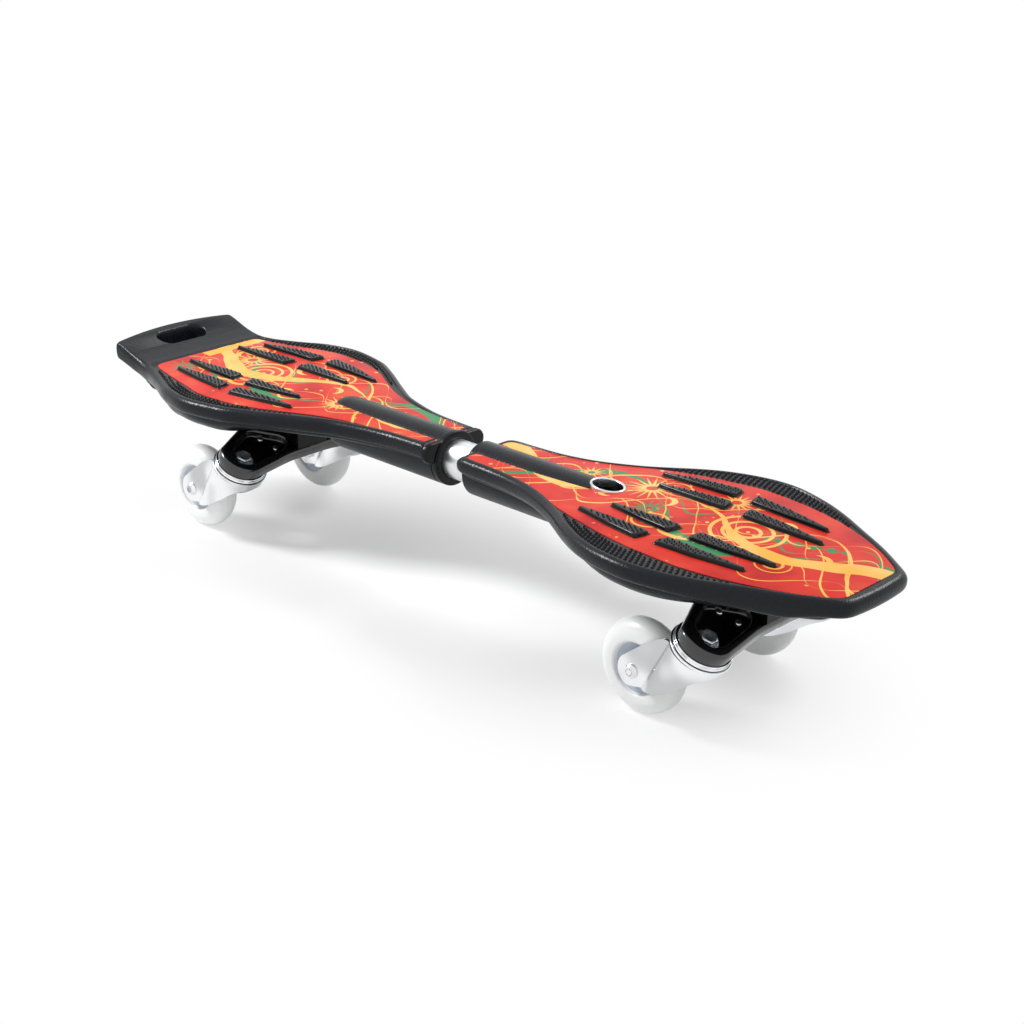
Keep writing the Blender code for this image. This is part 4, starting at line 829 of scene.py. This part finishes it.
def bezel(count=96):
    """A wall with a rounded top, carried round an ellipse that falls from the ridge to the deck."""
    arch = np.linspace(0, np.pi, 13)
    top = BEZEL_HALF * np.column_stack([np.cos(arch), 0.8 * (np.sin(arch) - 1)])
    start = (BEZEL_HALF, -BEZEL_DEPTH)
    section = np.vstack([start, top, (-BEZEL_HALF, BEZEL_SLANT - BEZEL_DEPTH), (0, -BEZEL_DEPTH), start])
    outward, lift = section.T[:, :, None]
    turn = circle(count)
    rear_top = TUBE_HEIGHT + RIDGE_RADIUS
    front_top = float(front.top(np.array(WINDOW_X + WINDOW_HALF_LENGTH)))
    slope = rear_top + BEZEL_PROUD + (front_top - rear_top) * (np.cos(turn) + 1) / 2
    return sheet(xyz(WINDOW_X + (WINDOW_HALF_LENGTH - BEZEL_HALF + outward) * np.cos(turn),
                     (WINDOW_HALF_WIDTH - BEZEL_HALF + outward) * np.sin(turn), slope + lift))


# %% Ridges and ring
for foot, depth in ((rear, 138 * MM), (front, 150 * MM)):
    surface = housing(foot, RIDGE_RADIUS, depth, sink=6 * MM, side=1, base=15 * MM)
    ridge = make(foot.name + "_ridge", [surface], deck_plastic, foot.body)
    if foot is front:
        cut(ridge, window_plug)
make("window_ring", [bezel()], bezel_silver, "front_half", ["tube_window_bezel"])

# %% [markdown]
# ## Printed sheets
#
# The decks wear a printed vinyl sheet: warm red with yellow and green figures. The figures here
# are plain geometry made for this board: waves along the deck, rings, sunbursts, crescents,
# dots and darts. Each is a distance worked out in the shader, and a soft step turns the
# distance into a shape.

# %% Colours and sizes of the figures
RED, ORANGE_RED, DEEP_RED = (0.70, 0.030, 0.016), (0.76, 0.085, 0.030), (0.52, 0.012, 0.010)
YELLOW, PALE_YELLOW = (0.93, 0.46, 0.060), (0.95, 0.62, 0.20)
GREEN = (0.045, 0.26, 0.10)
EDGE_SOFTNESS = 0.22
WAVES = ((196, 0.9, 21, 4, 9, 331), (118, 2.6, 30, -8, 1.5, 97), (139, 5.2, 34, 12, 1.2, 88),
         (87, 0.4, 19, 33, 1.0, 61), (103, 3.3, 22, -36, 1.0, 73), (171, 1.7, 44, 0, 2.4, 129),
         (74, 4.4, 12, -20, 0.8, 53), (64, 2.0, 15, 16, 0.8, 47))
RINGS = ((286, 6, 9.5, 1.5, 33), (-262, -4, 8.5, 1.3, 27), (221, -30, 7, 1.1, 15),
         (-197, 33, 6.5, 1.1, 14), (333, -26, 7, 1.2, 14), (-318, 38, 7, 1.2, 17))
BURSTS = ((180, 22, 18, 5, 25), (-150, -12, 14, 4, 18), (246, 44, 16, 4, 17), (-300, 14, 16, 5, 21),
          (120, 18, 12, 3, 13))
CRESCENTS = ((262, -44, 9, 4, 3), (236, 30, 11, -5, 3), (300, 34, 9, 3, -4), (352, 4, 10, -4, -3),
             (206, 8, 9, -4, -3), (160, -8, 8, 3, 3), (-236, 26, 10, 4, 3), (-276, -34, 10, -4, 3),
             (-208, -26, 9, 4, -2), (-178, 8, 8, -3, -3), (-320, 22, 9, 4, 2), (-120, 4, 6, 3, 1))
GREEN_WAVES = ((243, 3.9, 38, -6, 6.5, 171), (91, 1.2, 22, 22, 1.3, 77))
GREEN_DARTS = ((330, 18, 0.45, 14, 34, 5), (-300, -34, -0.5, 12, 30, 5),
               (120, -12, 0.3, 12, 26, 3.4), (-130, 14, 0.35, 12, 24, 3.2))
GREEN_BURSTS = ((205, -12, 12, 3, 17), (-330, -42, 12, 3, 20))


# %% Print
def print_finish():
    """The print: each figure is a mask made from distances in millimetres."""
    finish = Finish("decal_print", RED, 0.32, coat=0.05, coat_roughness=0.12, gloss=0.12)
    place = finish.place()
    x = finish.node("ShaderNodeSeparateXYZ", {}, {0: place})
    y = Signal(finish, x.socket.node.outputs[1])
    drift = finish.noise(place, 38, 1) - 0.5

    def inside(distance):
        return distance.ramp(EDGE_SOFTNESS, -EDGE_SOFTNESS)

    def far_from(cx, cy):
        return ((x - cx) * (x - cx) + (y - cy) * (y - cy)).power(0.5)

    def wave(length, phase, height, middle, width, swell):
        """A ribbon along a sine whose width swells and thins along it."""
        line = (x * (2 * math.pi / length) + phase).sine() * height + middle + drift * 14
        half = ((x * (2 * math.pi / swell) + phase).sine() * 0.48 + 0.52) * width
        return inside(abs(y - line) - half)

    def rings(cx, cy, step, width, reach):
        """Rings round a point, step apart."""
        far = far_from(cx, cy)
        return inside(far.wrap(step) - width) * inside(far - reach)

    def sunburst(cx, cy, count, inner, outer):
        """Tapering rays round a point: the angle folded to one ray, times the distance."""
        angle = finish.node("ShaderNodeMath", {"operation": "ARCTAN2"}, {0: y - cy, 1: x - cx})
        far = far_from(cx, cy)
        ray = (angle + math.pi).wrap(2 * math.pi / count) * far
        return inside(ray - (outer - far) * (1.5 / (outer - inner))) * inside(inner - far)

    def darts(cx, cy, slope, pitch, length, width):
        """A row of pointed darts along a slanted line."""
        along = (x - cx) + (y - cy) * slope
        side = (y - cy) - (x - cx) * slope
        return inside(abs(side) - along.wrap(pitch) * (2 * width / pitch)) * inside(abs(along) - length)

    def dots(size, radius, keep):
        """Scattered dots, of which a noise keeps some."""
        spots = finish.cells(place * (1, 1, 0), size) * size
        return inside(spots - radius) * finish.noise(place, 60, 1).ramp(keep, keep + 0.02)

    def crescent(cx, cy, radius, shift_x, shift_y):
        """A disc less another one of the same size beside it."""
        return (inside(far_from(cx, cy) - radius)
                * (1 - inside(far_from(cx + shift_x, cy + shift_y) - radius)))

    def all_of(*groups):
        """The union of several masks: each group is a figure and the rows of its sizes."""
        masks = [figure(*sizes) for figure, rows in groups for sizes in rows]
        union = masks[0]
        for mask in masks[1:]:
            union = union.most(mask)
        return union

    yellow = all_of((wave, WAVES), (rings, RINGS), (sunburst, BURSTS), (dots, ((11, 1.7, 0.54),)),
                    (crescent, CRESCENTS))
    tail_band = inside(abs(x + 345) - 5.5) * inside(abs(y - 28) - 34)
    green = all_of((wave, GREEN_WAVES), (darts, GREEN_DARTS), (sunburst, GREEN_BURSTS))
    hue = finish.noise(place, 45, 2)
    base = finish.blend(hue.ramp(0.30, 0.50), DEEP_RED, RED)
    base = finish.blend(hue.ramp(0.50, 0.75), base, ORANGE_RED)
    base = finish.blend(green, base, GREEN)
    ink = finish.blend(hue.ramp(0.35, 0.7), YELLOW, PALE_YELLOW)
    finish.set(base_color=finish.blend(yellow.most(tail_band), base, ink),
               roughness=finish.noise(place, 20) * 0.14 + 0.26)
    return finish.relief(finish.noise(place, 0.6, 2), 0.03 * MM, 0.25)


decal_print = print_finish()
print("print:", len(decal_print.tree.nodes), "nodes")

# %% Decals
DECAL_LEVELS = mm((0.4, -2.0), (0, -2.0), (0, -0.35), (0.12, -0.15), (0.4, -0.1))
for foot, start, end in ((rear, 2 * MM, 330 * MM), (front, 5 * MM, 384 * MM)):
    body = foot.slab(foot.decal_width, start, end, DECAL_LEVELS, corner=4)
    decal = make(foot.name + "_printed_sheet", [body], decal_print, foot.body, [foot.name + "_decal"])
    if foot is front:
        cut(decal, window_plug)

# %% [markdown]
# ## Grip pads and studs
#
# Leaf-shaped pads stand up through the print to grip the shoe, and rows of small cones fill the
# channel at each side of the foot. One cone is a few dozen faces, and numpy copies it to every
# place in one step.


# %% Studs by the hundred
def cones(places, radius, height, sides=8):
    """One blunt cone copied to each place: four rings, each narrower and higher than the last."""
    rings = ((1, -0.3), (0.62, 0.6), (0.36, 0.93), (0.12, 1.0))
    one, cells = turned(np.array(rings) * (radius, height), sides)
    starts = np.arange(len(places))[:, None] * len(one)
    points = (places[:, None, :] + one).reshape(-1, 3)
    faces = (np.array(cells) + starts[:, :, None]).reshape(-1, 4).tolist()
    caps = np.arange(len(one) - sides, len(one)) + starts
    return points, faces + caps.tolist()


# %% Rows along the deck's edge
STUD_PITCH, STUD_ROW, STUD_EDGE = 4.6 * MM, 3.9 * MM, 9.4 * MM
STUD_ROWS, STUD_STAGGER, STUD_CLEAR = 6, 0.67, 2.1 * MM


def band_places(foot, first, last):
    """Rows that follow the deck's edge and stop short of the decal, each a step further along."""
    places = []
    s = np.linspace(first, last, 2000)
    slope = np.gradient(foot.half_width(s), s)
    for row in range(STUD_ROWS):
        y = foot.half_width(s) - (STUD_EDGE + row * STUD_ROW) * np.sqrt(1 + slope ** 2)
        along = np.concatenate([[0], np.cumsum(np.hypot(np.diff(s), np.diff(y)))])
        for side in (1, -1):
            start = -side * foot.way * row * STUD_STAGGER % 1 * STUD_PITCH
            at = np.arange(start, along[-1], STUD_PITCH)
            spot, width = np.interp(at, along, s), np.interp(at, along, y)
            keep = width > foot.decal_width(spot) + STUD_CLEAR
            x = foot.x(spot[keep])
            places.append(xyz(x, side * width[keep], foot.top(x) - CHANNEL_DEPTH))
    return np.vstack(places)


# %% Leaf-shaped pads
PADS = (
    ((0.077, 0.0510), (0.003, 0.0625), (0.006, 0.0495)),
    ((0.088, 0.0285), (0.015, 0.0378), (0.017, 0.0245)),
    ((-0.081, 0.0500), (-0.013, 0.0650), (-0.0105, 0.0515)),
    ((-0.067, 0.0280), (-0.0035, 0.0390), (-0.001, 0.0255)),
)
PAD_BOW, PAD_TIP = 2.0 * MM, 1.2 * MM


def pad_corners(pad):
    """The leaf's six corners: its narrow tip, its sides' middles, bowed out, and its blunt end."""
    tip, outer, inner = (np.array(point) for point in pad)
    return np.array([tip + (0, PAD_TIP), 0.45 * tip + 0.55 * outer + (0, PAD_BOW), outer, inner,
                     (tip + inner) / 2 - (0, PAD_BOW / 2), tip - (0, PAD_TIP)])


def inward_of(corners):
    """For each side of a convex outline, the unit vector that points inwards."""
    step = np.roll(corners, -1, axis=0) - corners
    inward = np.column_stack([-step[:, 1], step[:, 0]]) / np.hypot(*step.T)[:, None]
    return inward * np.sign(((corners.mean(axis=0) - corners) * inward).sum(axis=1))[:, None]


def drawn_in(corners, inset):
    """The outline moved inwards: a corner goes by inset (m + n) / (1 + m n), m and n its sides' normals."""
    inward = inward_of(corners)
    before = np.roll(inward, 1, axis=0)
    return corners + inset * (before + inward) / (1 + (before * inward).sum(axis=1))[:, None]


# %% Pads on the deck, and their studs
PAD_CORNER, PAD_TOP = 3.4 * MM, 2.9 * MM
PAD_LEVELS = mm((-1.3, -1.2), (-1.3, 0.2), (-1.1, 0.5), (-0.7, 0.6), (-0.45, 0.5), (-0.1, 2.0),
                (0.05, 2.5), (0.35, 2.82), (0.8, 2.9))
PAD_STUD_PITCH, PAD_STUD_CLEAR = 3.5 * MM, 1.6 * MM
PAD_STUD_ROW = 0.9 * PAD_STUD_PITCH


def on_deck(foot, side, points, height):
    """(along from the foot's middle, across) points set on the deck's top at a height."""
    x = foot.x(foot.foot + points[:, 0])
    return xyz(x, side * points[:, 1], foot.top(x) + height)


def pad_surface(foot, pad, side):
    """Rings of the leaf's outline from below the print to its top, with a narrow rounded rim."""
    corners = pad_corners(pad)
    return plug([on_deck(foot, side, rounded(drawn_in(corners, inset), PAD_CORNER, ring=True)[:-1], height)
                 for inset, height in PAD_LEVELS])


def pad_studs(foot, pad, side):
    """Staggered places along the leaf, kept where every side of its outline is clear of them."""
    corners = pad_corners(pad)
    tip, blunt = corners[[0, 5]].mean(axis=0), corners[2:4].mean(axis=0)
    length = np.hypot(*(blunt - tip))
    forward = (blunt - tip) / length
    left = np.array((-forward[1], forward[0]))
    s, w = np.meshgrid(np.arange(0.2 * length, length, PAD_STUD_ROW),
                       np.arange(-4, 5) * PAD_STUD_PITCH, indexing="ij")
    w = w + (np.arange(len(s)) % 2)[:, None] * PAD_STUD_PITCH / 2
    spots = tip + s.reshape(-1, 1) * forward + w.reshape(-1, 1) * left
    room = ((spots[:, None, :] - corners) * inward_of(corners)).sum(axis=2).min(axis=1)
    return on_deck(foot, side, spots[room > PAD_STUD_CLEAR], PAD_TOP)


# %% Pads and studs of both decks
STUD_SIZE, PAD_STUD_SIZE = (1.5 * MM, 2.1 * MM), (1.0 * MM, 1.2 * MM)
STUD_CREASE = 50
for foot, first, last in ((rear, 138 * MM, 315 * MM), (front, 140 * MM, 327 * MM)):
    sites = [(foot, pad, side) for pad in PADS for side in (1, -1)]
    places = band_places(foot, first, last)
    spots = np.vstack([pad_studs(*site) for site in sites])
    for name, surfaces, finish, crease in (
            ("edge_studs", [cones(places, *STUD_SIZE)], stud_plastic, STUD_CREASE),
            ("grip_pads", [pad_surface(*site) for site in sites], pad_plastic, CREASE),
            ("pad_studs", [cones(spots, *PAD_STUD_SIZE)], stud_plastic, STUD_CREASE)):
        make(f"{foot.name}_{name}", surfaces, finish, foot.body, crease=crease)
    print(foot.name, len(places), "edge studs and", len(spots), "pad studs")

# %% [markdown]
# ## Tube and neck cap
#
# A satin aluminium tube joins the decks. Where it enters the rear neck, a black cap closes the
# moulding: a plate with an ear at each side, and a collar round the tube.

# %% Tube and cap
TUBE_WALL = 2.5 * MM
CAP_FACE_X = rear.neck_x + 0.3 * MM
CAP_HALF_WIDTH, CAP_RADIUS = 35 * MM, 9 * MM
CAP_MIDDLE = DECK_HEIGHT - CAP_RADIUS + 1 * MM
CAP_LEVELS = mm((2.0, 0), (0, 0.1), (0, 3.4), (0.4, 4.2), (1.2, 4.7), (3.0, 4.7))
COLLAR_BORE, COLLAR_RADIUS = TUBE_RADIUS + 0.3 * MM, 24 * MM
COLLAR_END_X = CAP_FACE_X + 6.3 * MM


def sleeve(inner, outer, start, end, reach):
    """A tube with rounded rims round the board's twist axis."""
    profile = rounded([(inner, start), (outer, start), (outer, end), (inner, end)], reach, ring=True)
    return in_frame(turned(profile, 96), ((0, 1, 0), (0, 0, 1), (1, 0, 0)), (0, 0, TUBE_HEIGHT))


def cap_plate():
    """A plate with half-round ends whose front edge is rounded."""
    inset, x = CAP_LEVELS.T[:, :, None]
    turn = circle(96)
    reach = CAP_RADIUS - inset
    y = reach * np.cos(turn) + (CAP_HALF_WIDTH - CAP_RADIUS) * np.sign(np.cos(turn) + NEARLY)
    return plug(xyz(CAP_FACE_X + x, y, CAP_MIDDLE + reach * np.sin(turn)))


tube_low, tube_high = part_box("torsion_tube")
tube = sleeve(TUBE_RADIUS - TUBE_WALL, TUBE_RADIUS, tube_low.x, tube_high.x, 0.5 * MM)
make("tube", [tube], tube_aluminium, "front_half", ["torsion_tube"])
collar = sleeve(COLLAR_BORE, COLLAR_RADIUS, CAP_FACE_X, COLLAR_END_X, 1.3 * MM)
make("neck_cap_cover", [collar, cap_plate()], cap_plastic, "rear_half", ["neck_cap"])

# %% [markdown]
# ## Caster brackets
#
# A bracket is pressed from thick sheet: a wide rounded rim runs round two lobes, and a sunk
# tray holds each kingpin. Its height is worked out from two distances, to the outer edge and to
# the tray's edge, on a grid of rays that spread from the tray's middle. Half of it is made and
# mirrored. It leans with the casters, so it is drawn upright and then turned.

# %% Outlines of a bracket and its tray
KINGPIN = np.array((0, joints["rear_left_swivel"]["pos_m"][1]))
LOBE_RADIUS, TRAY_RADIUS = 21.7 * MM, 12.8 * MM
FRONT_CORNER = mm((15.5, 0), (15.5, 24))
REAR_CORNER = mm((-34, 46), (-34, 0))
TRAY_TAIL = mm((-24.5, 46), (-8, 21), (-2, 18.5), (3, 22), (8, 33))


def bracket_outline():
    """Half of the outer edge: front middle, front corner, lobe, rear corner, rear middle."""
    lobe = arc(KINGPIN, LOBE_RADIUS, -6, 138)
    return np.vstack([rounded([*FRONT_CORNER, lobe[0]], 8 * MM), lobe,
                      rounded([lobe[-1], *REAR_CORNER], 6 * MM)])


def tray_outline():
    """The tray's edge: round the kingpin, then narrowing to a V towards the middle."""
    top = arc(KINGPIN, TRAY_RADIUS, -8, 160)
    return rounded(np.vstack([top[:1], top[8:-8:8], top[-1:], TRAY_TAIL]), 6 * MM, ring=True)


# %% Distances to an outline
TRAY_CENTRE = np.array((-5 * MM, 48 * MM))


def dense(loop, count=1200):
    """The same closed loop with evenly spaced points."""
    path = np.vstack([loop, loop[:1]])
    along = np.concatenate([[0], np.cumsum(np.hypot(*np.diff(path, axis=0).T))])
    at = np.linspace(0, along[-1], count, endpoint=False)
    return np.column_stack([np.interp(at, along, path[:, k]) for k in range(2)])


def polar_reach(loop, turns):
    """How far a closed loop lies from the tray's centre, along each of several directions."""
    offset = loop - TRAY_CENTRE
    angle = np.arctan2(offset[:, 1], offset[:, 0])
    order = np.argsort(angle)
    return np.interp(turns, angle[order], np.hypot(*offset.T)[order], period=2 * np.pi)


def rounding(points, loop, reach):
    """How far an edge rounded by reach lies below its top, near a dense loop."""
    gaps = points[:, None, :] - loop
    share = np.clip(np.sqrt((gaps ** 2).sum(axis=2).min(axis=1)) / reach, 0, 1)
    return reach * (1 - np.sqrt(1 - (1 - share) ** 2))


# %% Half a bracket
BRACKET_LOW, BRACKET_TOP, TRAY_FLOOR = 4.9 * MM, 14.9 * MM, 7.4 * MM
OUTER_ROUND, TRAY_ROUND = 4.5 * MM, 3.0 * MM
TRAY_LEVELS = ((0.985, 2.2 * MM), (0.95, 0.6 * MM), (0.90, 0), (0.5, 0), (0.0, 0))
MIDDLE_GAP = 0.2 * MM


def bracket_half(rays=220):
    """Rings across the flat underside, then over the rim and into the tray, by the two distances."""
    outer, inner = dense(bracket_outline()), dense(tray_outline())
    edge_only = outer[outer[:, 1] > MIDDLE_GAP]
    turns = circle(rays)
    ray = directions(turns)
    reach, hollow = polar_reach(outer, turns), polar_reach(inner, turns)

    def ring(distance, height):
        flat = TRAY_CENTRE + ray * distance[:, None]
        return xyz(*flat.T, height(flat) if callable(height) else height)

    def rim_height(flat):
        return BRACKET_TOP - rounding(flat, edge_only, OUTER_ROUND) - rounding(flat, inner, TRAY_ROUND)

    rings = [ring(0 * reach, BRACKET_LOW), ring(reach, BRACKET_LOW)]
    rings += [ring(reach + (hollow - reach) * share, rim_height) for share in np.linspace(0, 1, 26)]
    rings += [ring(hollow * shrink, TRAY_FLOOR + lift) for shrink, lift in TRAY_LEVELS]
    return np.stack(rings)


# %% Brackets and rivets
RIVETS = mm((-16, 37), (-1, 30))
SHEET_CREASE = 40
lean_axis = np.array(joints["rear_left_swivel"]["axis"])
LEAN = np.array([(lean_axis[2], 0, -lean_axis[0]), (0, 1, 0), lean_axis])

half = bracket_half()
halves = [sheet(half), sheet(half * (1, -1, 1))]
rivet = turned(rounded(mm((0, 0), (3.1, 0), (3.1, 0.9), (1.6, 2.0), (0, 2.1)), 0.8 * MM), 32)
for foot in FEET:
    centre_x, _, height = joints[foot.name + "_left_swivel"]["pos_m"]
    place = (centre_x, 0, height)
    make(foot.name + "_caster_bracket", [in_frame(part, LEAN, place) for part in halves], bracket_paint,
         foot.body, [foot.name + "_bracket"], crease=SHEET_CREASE)
    heads = [in_frame(rivet, LEAN, place, (x, side * y, TRAY_FLOOR)) for x, y in RIVETS for side in (1, -1)]
    make(foot.name + "_bracket_rivets", heads, race_zinc, foot.body)

# %% [markdown]
# ## Casters
#
# Each caster hangs from a flanged bolt through the tray. A hexagon with a chamfered top is the
# smaller of two radii: the hexagon's own, and a cone's. The fork is a strip of sheet bent round
# the front of the swivel, with two legs that run back and down to the axle.

# %% Kingpin and races
SPANNER = 13 * MM


def kingpin():
    """Flange with a domed skirt, a chamfered head on it, and the shank below."""
    flange = rounded(mm((0, 0), (9.8, 0), (9.8, 1.0), (7.6, 1.9), (0, 2.4)), 0.5 * MM)
    head = mm((0, 0.5), (9, 0.5), (9, 4.9), (7.0, 5.15), (6.1, 5.75), (5.6, 5.9), (4.6, 5.9), (4.2, 5.7),
              (0, 5.6))
    shank = mm((0, 0), (4, 0), (4, -18.5), (0, -18.5))
    return [turned(flange), turned(head, flats=SPANNER), turned(shank, 24)]


def race():
    """The upper race: two rolled rings, the wider one below."""
    path = mm((4.3, 2.2), (20.6, 2.2), (21.4, 0.7), (23.5, 0.7), (23.5, 2.5), (22.3, 2.6), (22.3, 3.0),
              (23, 3.1), (23, 4.55), (4.3, 4.55))
    return [turned(rounded(path, 0.5 * MM, ring=True))]


def crown():
    """The fork's own race: a turned-out ring over the skirt."""
    path = mm((4.5, -0.3), (4.5, -3), (22.3, -3.2), (23.5, -2.4), (24.8, -1.9), (24.8, -0.2), (23.4, 0),
              (20, -0.8))
    return turned(rounded(path, 0.8 * MM, ring=True))


# %% Axle bolt and nut
KEY = 5 * MM


def axle_bolt():
    """A button head with a hexagon socket, on its shank."""
    head = rounded(mm((3.2, 0), (6.1, 0), (6.1, 0.9), (3.9, 3.3), (2.9, 3.3)), 0.8 * MM)
    socket = mm((2.9, 3.3), (2.8, 3.1), (2.8, 1.2), (0, 1.0))
    shank = mm((0, 0), (3.8, 0), (3.8, -36.5), (0, -36.5))
    return [turned(head), turned(socket, flats=KEY), turned(shank, 24)]


def axle_nut():
    """A locking nut: a chamfered hexagon with a round collar."""
    head = mm((4.1, 0), (7, 0), (8, 0.5), (8, 3.2), (6.6, 4), (5.6, 4.1), (5.4, 5), (4.1, 5.2), (4.1, 0))
    return [turned(head, flats=SPANNER)]


# %% Fork
FORK_INNER, FORK_OUTER = 13.05 * MM, 15.45 * MM
SKIRT_RADIUS, FORK_SHEET = 23.3 * MM, 2.4 * MM
TRAIL, AXLE_DROP, FORK_END = 30.5 * MM, 53.3 * MM, 13.5 * MM
END_SHARE = 0.92
FORK_UPPER = mm((-44.0, -53.3), (-42.5, -47.2), (-18.6, -6.0), (30, -2))
FORK_LOWER = mm((-44.0, -53.3), (-30.5, -66.8), (-18.0, -58.5), (-4.0, -46.9), (10.0, -26.7),
                (17.5, -13.0), (23.3, -7.5))


def fork_path(radius, half, legs=40):
    """(forward, left) along a leg, round the front and back along the other leg."""
    crease = math.asin(half / radius)
    bend = 180 - math.degrees(crease)
    front = arc((0, 0), radius, -bend, bend, 64)
    back = TRAIL + FORK_END
    run = back - radius * math.cos(crease)
    ease = 0.5 - 0.5 * np.cos(np.linspace(0, np.pi, legs, endpoint=False))
    first = np.column_stack([run * ease - back, np.full(legs, -half)])
    return np.vstack([first, front, first[::-1] * (1, -1)])


def fork_edges(x):
    """Where the strip starts and ends in height at each place forward of the swivel axis.

    Behind the axle they follow an arc round it, the upper edge only at the very end.
    """
    s = np.clip((x + TRAIL) / FORK_END, -1, 1)
    arc_half = FORK_END * np.sqrt(1 - s ** 2)
    upper = np.where(x < -TRAIL - END_SHARE * FORK_END, -AXLE_DROP + arc_half, fair_curve(FORK_UPPER)(x))
    lower = np.where(x < -TRAIL, -AXLE_DROP - arc_half, fair_curve(FORK_LOWER)(x))
    return upper, lower


def fork():
    """The strip, its height scaled between its two edges at each place, and its inner side."""
    share = np.linspace(0, 1, 16)[:, None]
    walls = []
    for radius, half in ((SKIRT_RADIUS, FORK_OUTER), (SKIRT_RADIUS - FORK_SHEET, FORK_INNER)):
        x, y = fork_path(radius, half).T
        upper, lower = fork_edges(x)
        walls.append(xyz(x, y, upper + (lower - upper) * share))
    outside, inside = walls
    return [sheet(np.concatenate([outside, inside[::-1], outside[:1]]), around=False), crown()]


# %% Wheel and hub
WHEEL_RADIUS, WHEEL_HALF = 38 * MM, 12.25 * MM


def wheel():
    """The tread is a half circle in section; the side is dished to a hub that holds the bearing."""
    tread = arc((WHEEL_RADIUS - WHEEL_HALF, 0), WHEEL_HALF, 0, 84, 14)
    side = rounded([tread[-1], *mm((22.6, 12.2), (21.0, 11.4), (20.4, 8.6), (14.5, 7.6))], 1.2 * MM)
    upper = np.vstack([tread, side[1:]])
    return [turned(np.vstack([(upper * (1, -1))[::-1], upper]), 128)]


def hub():
    """The bowl inside each side, and the seat of the bearing.

    Its blue-grey colour is painted shade and reflection in the white wheel's recess.
    """
    half = rounded(mm((20.6, 9.0), (20.0, 8.9), (15.5, 8.25), (11.4, 8.25), (11.3, 6.0)), 0.8 * MM)
    return [turned(np.vstack([half, (half * (1, -1))[::-1]]), 96)]


# %% [markdown]
# ### Four casters from one set of drawings
#
# A caster has two frames: one along its kingpin and one along its axle. At every corner each
# drawing is placed in one of the two, and rides on the part of the caster that moves it.

# %% Assemble the casters
KINGPIN_SEAT = TRAY_FLOOR + 0.1 * MM
swivels = [joint for joint in frame["joints"] if joint["name"].endswith("_swivel")]
for joint in swivels:
    corner = joint["name"].removesuffix("_swivel")
    roll = joints[corner + "_roll"]
    holder, swinging, rolling = joint["parent"], joint["child"], roll["child"]
    side = 1 if joint["pos_m"][1] > 0 else -1

    def on_kingpin(surfaces, lift=0):
        return [in_frame(surface, LEAN, joint["pos_m"], (0, 0, lift)) for surface in surfaces]

    def on_axle(surfaces, lift=0, way=side):
        axes = ((1, 0, 0), (0, 0, -way), (0, way, 0))
        return [in_frame(surface, axes, roll["pos_m"], (0, 0, lift)) for surface in surfaces]

    for name, surfaces, finish, body, solid, crease in (
            ("kingpin", on_kingpin(kingpin(), KINGPIN_SEAT), bolt_zinc, holder, "kingpin_bolt", CREASE),
            ("race", on_kingpin(race()), race_zinc, holder, "upper_race", CREASE),
            ("fork_plate", on_kingpin(fork()), fork_zinc, swinging, "fork", SHEET_CREASE),
            ("axle", on_axle(axle_bolt(), FORK_OUTER), race_zinc, swinging, "axle_bolt", CREASE),
            ("lock_nut", on_axle(axle_nut(), FORK_OUTER, -side), race_zinc, swinging, "axle_nut", CREASE),
            ("tyre", on_axle(wheel()), wheel_urethane, rolling, "wheel", CREASE)):
        make(f"{corner}_{name}", surfaces, finish, body, [f"{corner}_{solid}"], crease=crease)
    # Each hub is an extra bowl in the wheel's recess, coloured blue-grey as painted shade and reflection.
    make(corner + "_hub", on_axle(hub()), hub_plastic, rolling)
print("casters:", len(swivels))

# %% [markdown]
# ## Solids that stay
#
# Pieces that show little, such as the wedges, the bearings, the nuts of the kingpins and the
# bar in the tube, keep their own solids in the picture. They only get a finish.

# %% Finishes of the solids that stay
STAYING = {
    "torsion_bar": bearing_steel, "bar_anchor": bearing_steel, "inner_bush": wheel_urethane,
    "wedge": cap_plastic, "kingpin_nut": race_zinc, "ball_ring": bearing_steel, "spacer": bearing_steel,
    "bearing": bearing_steel,
}
for name, item in frame["nodes"].items():
    for ending, finish in STAYING.items():
        if name.endswith(ending):
            item.data.materials.clear()
            item.data.materials.append(finish.material)
            print(name, "wears", finish.name)
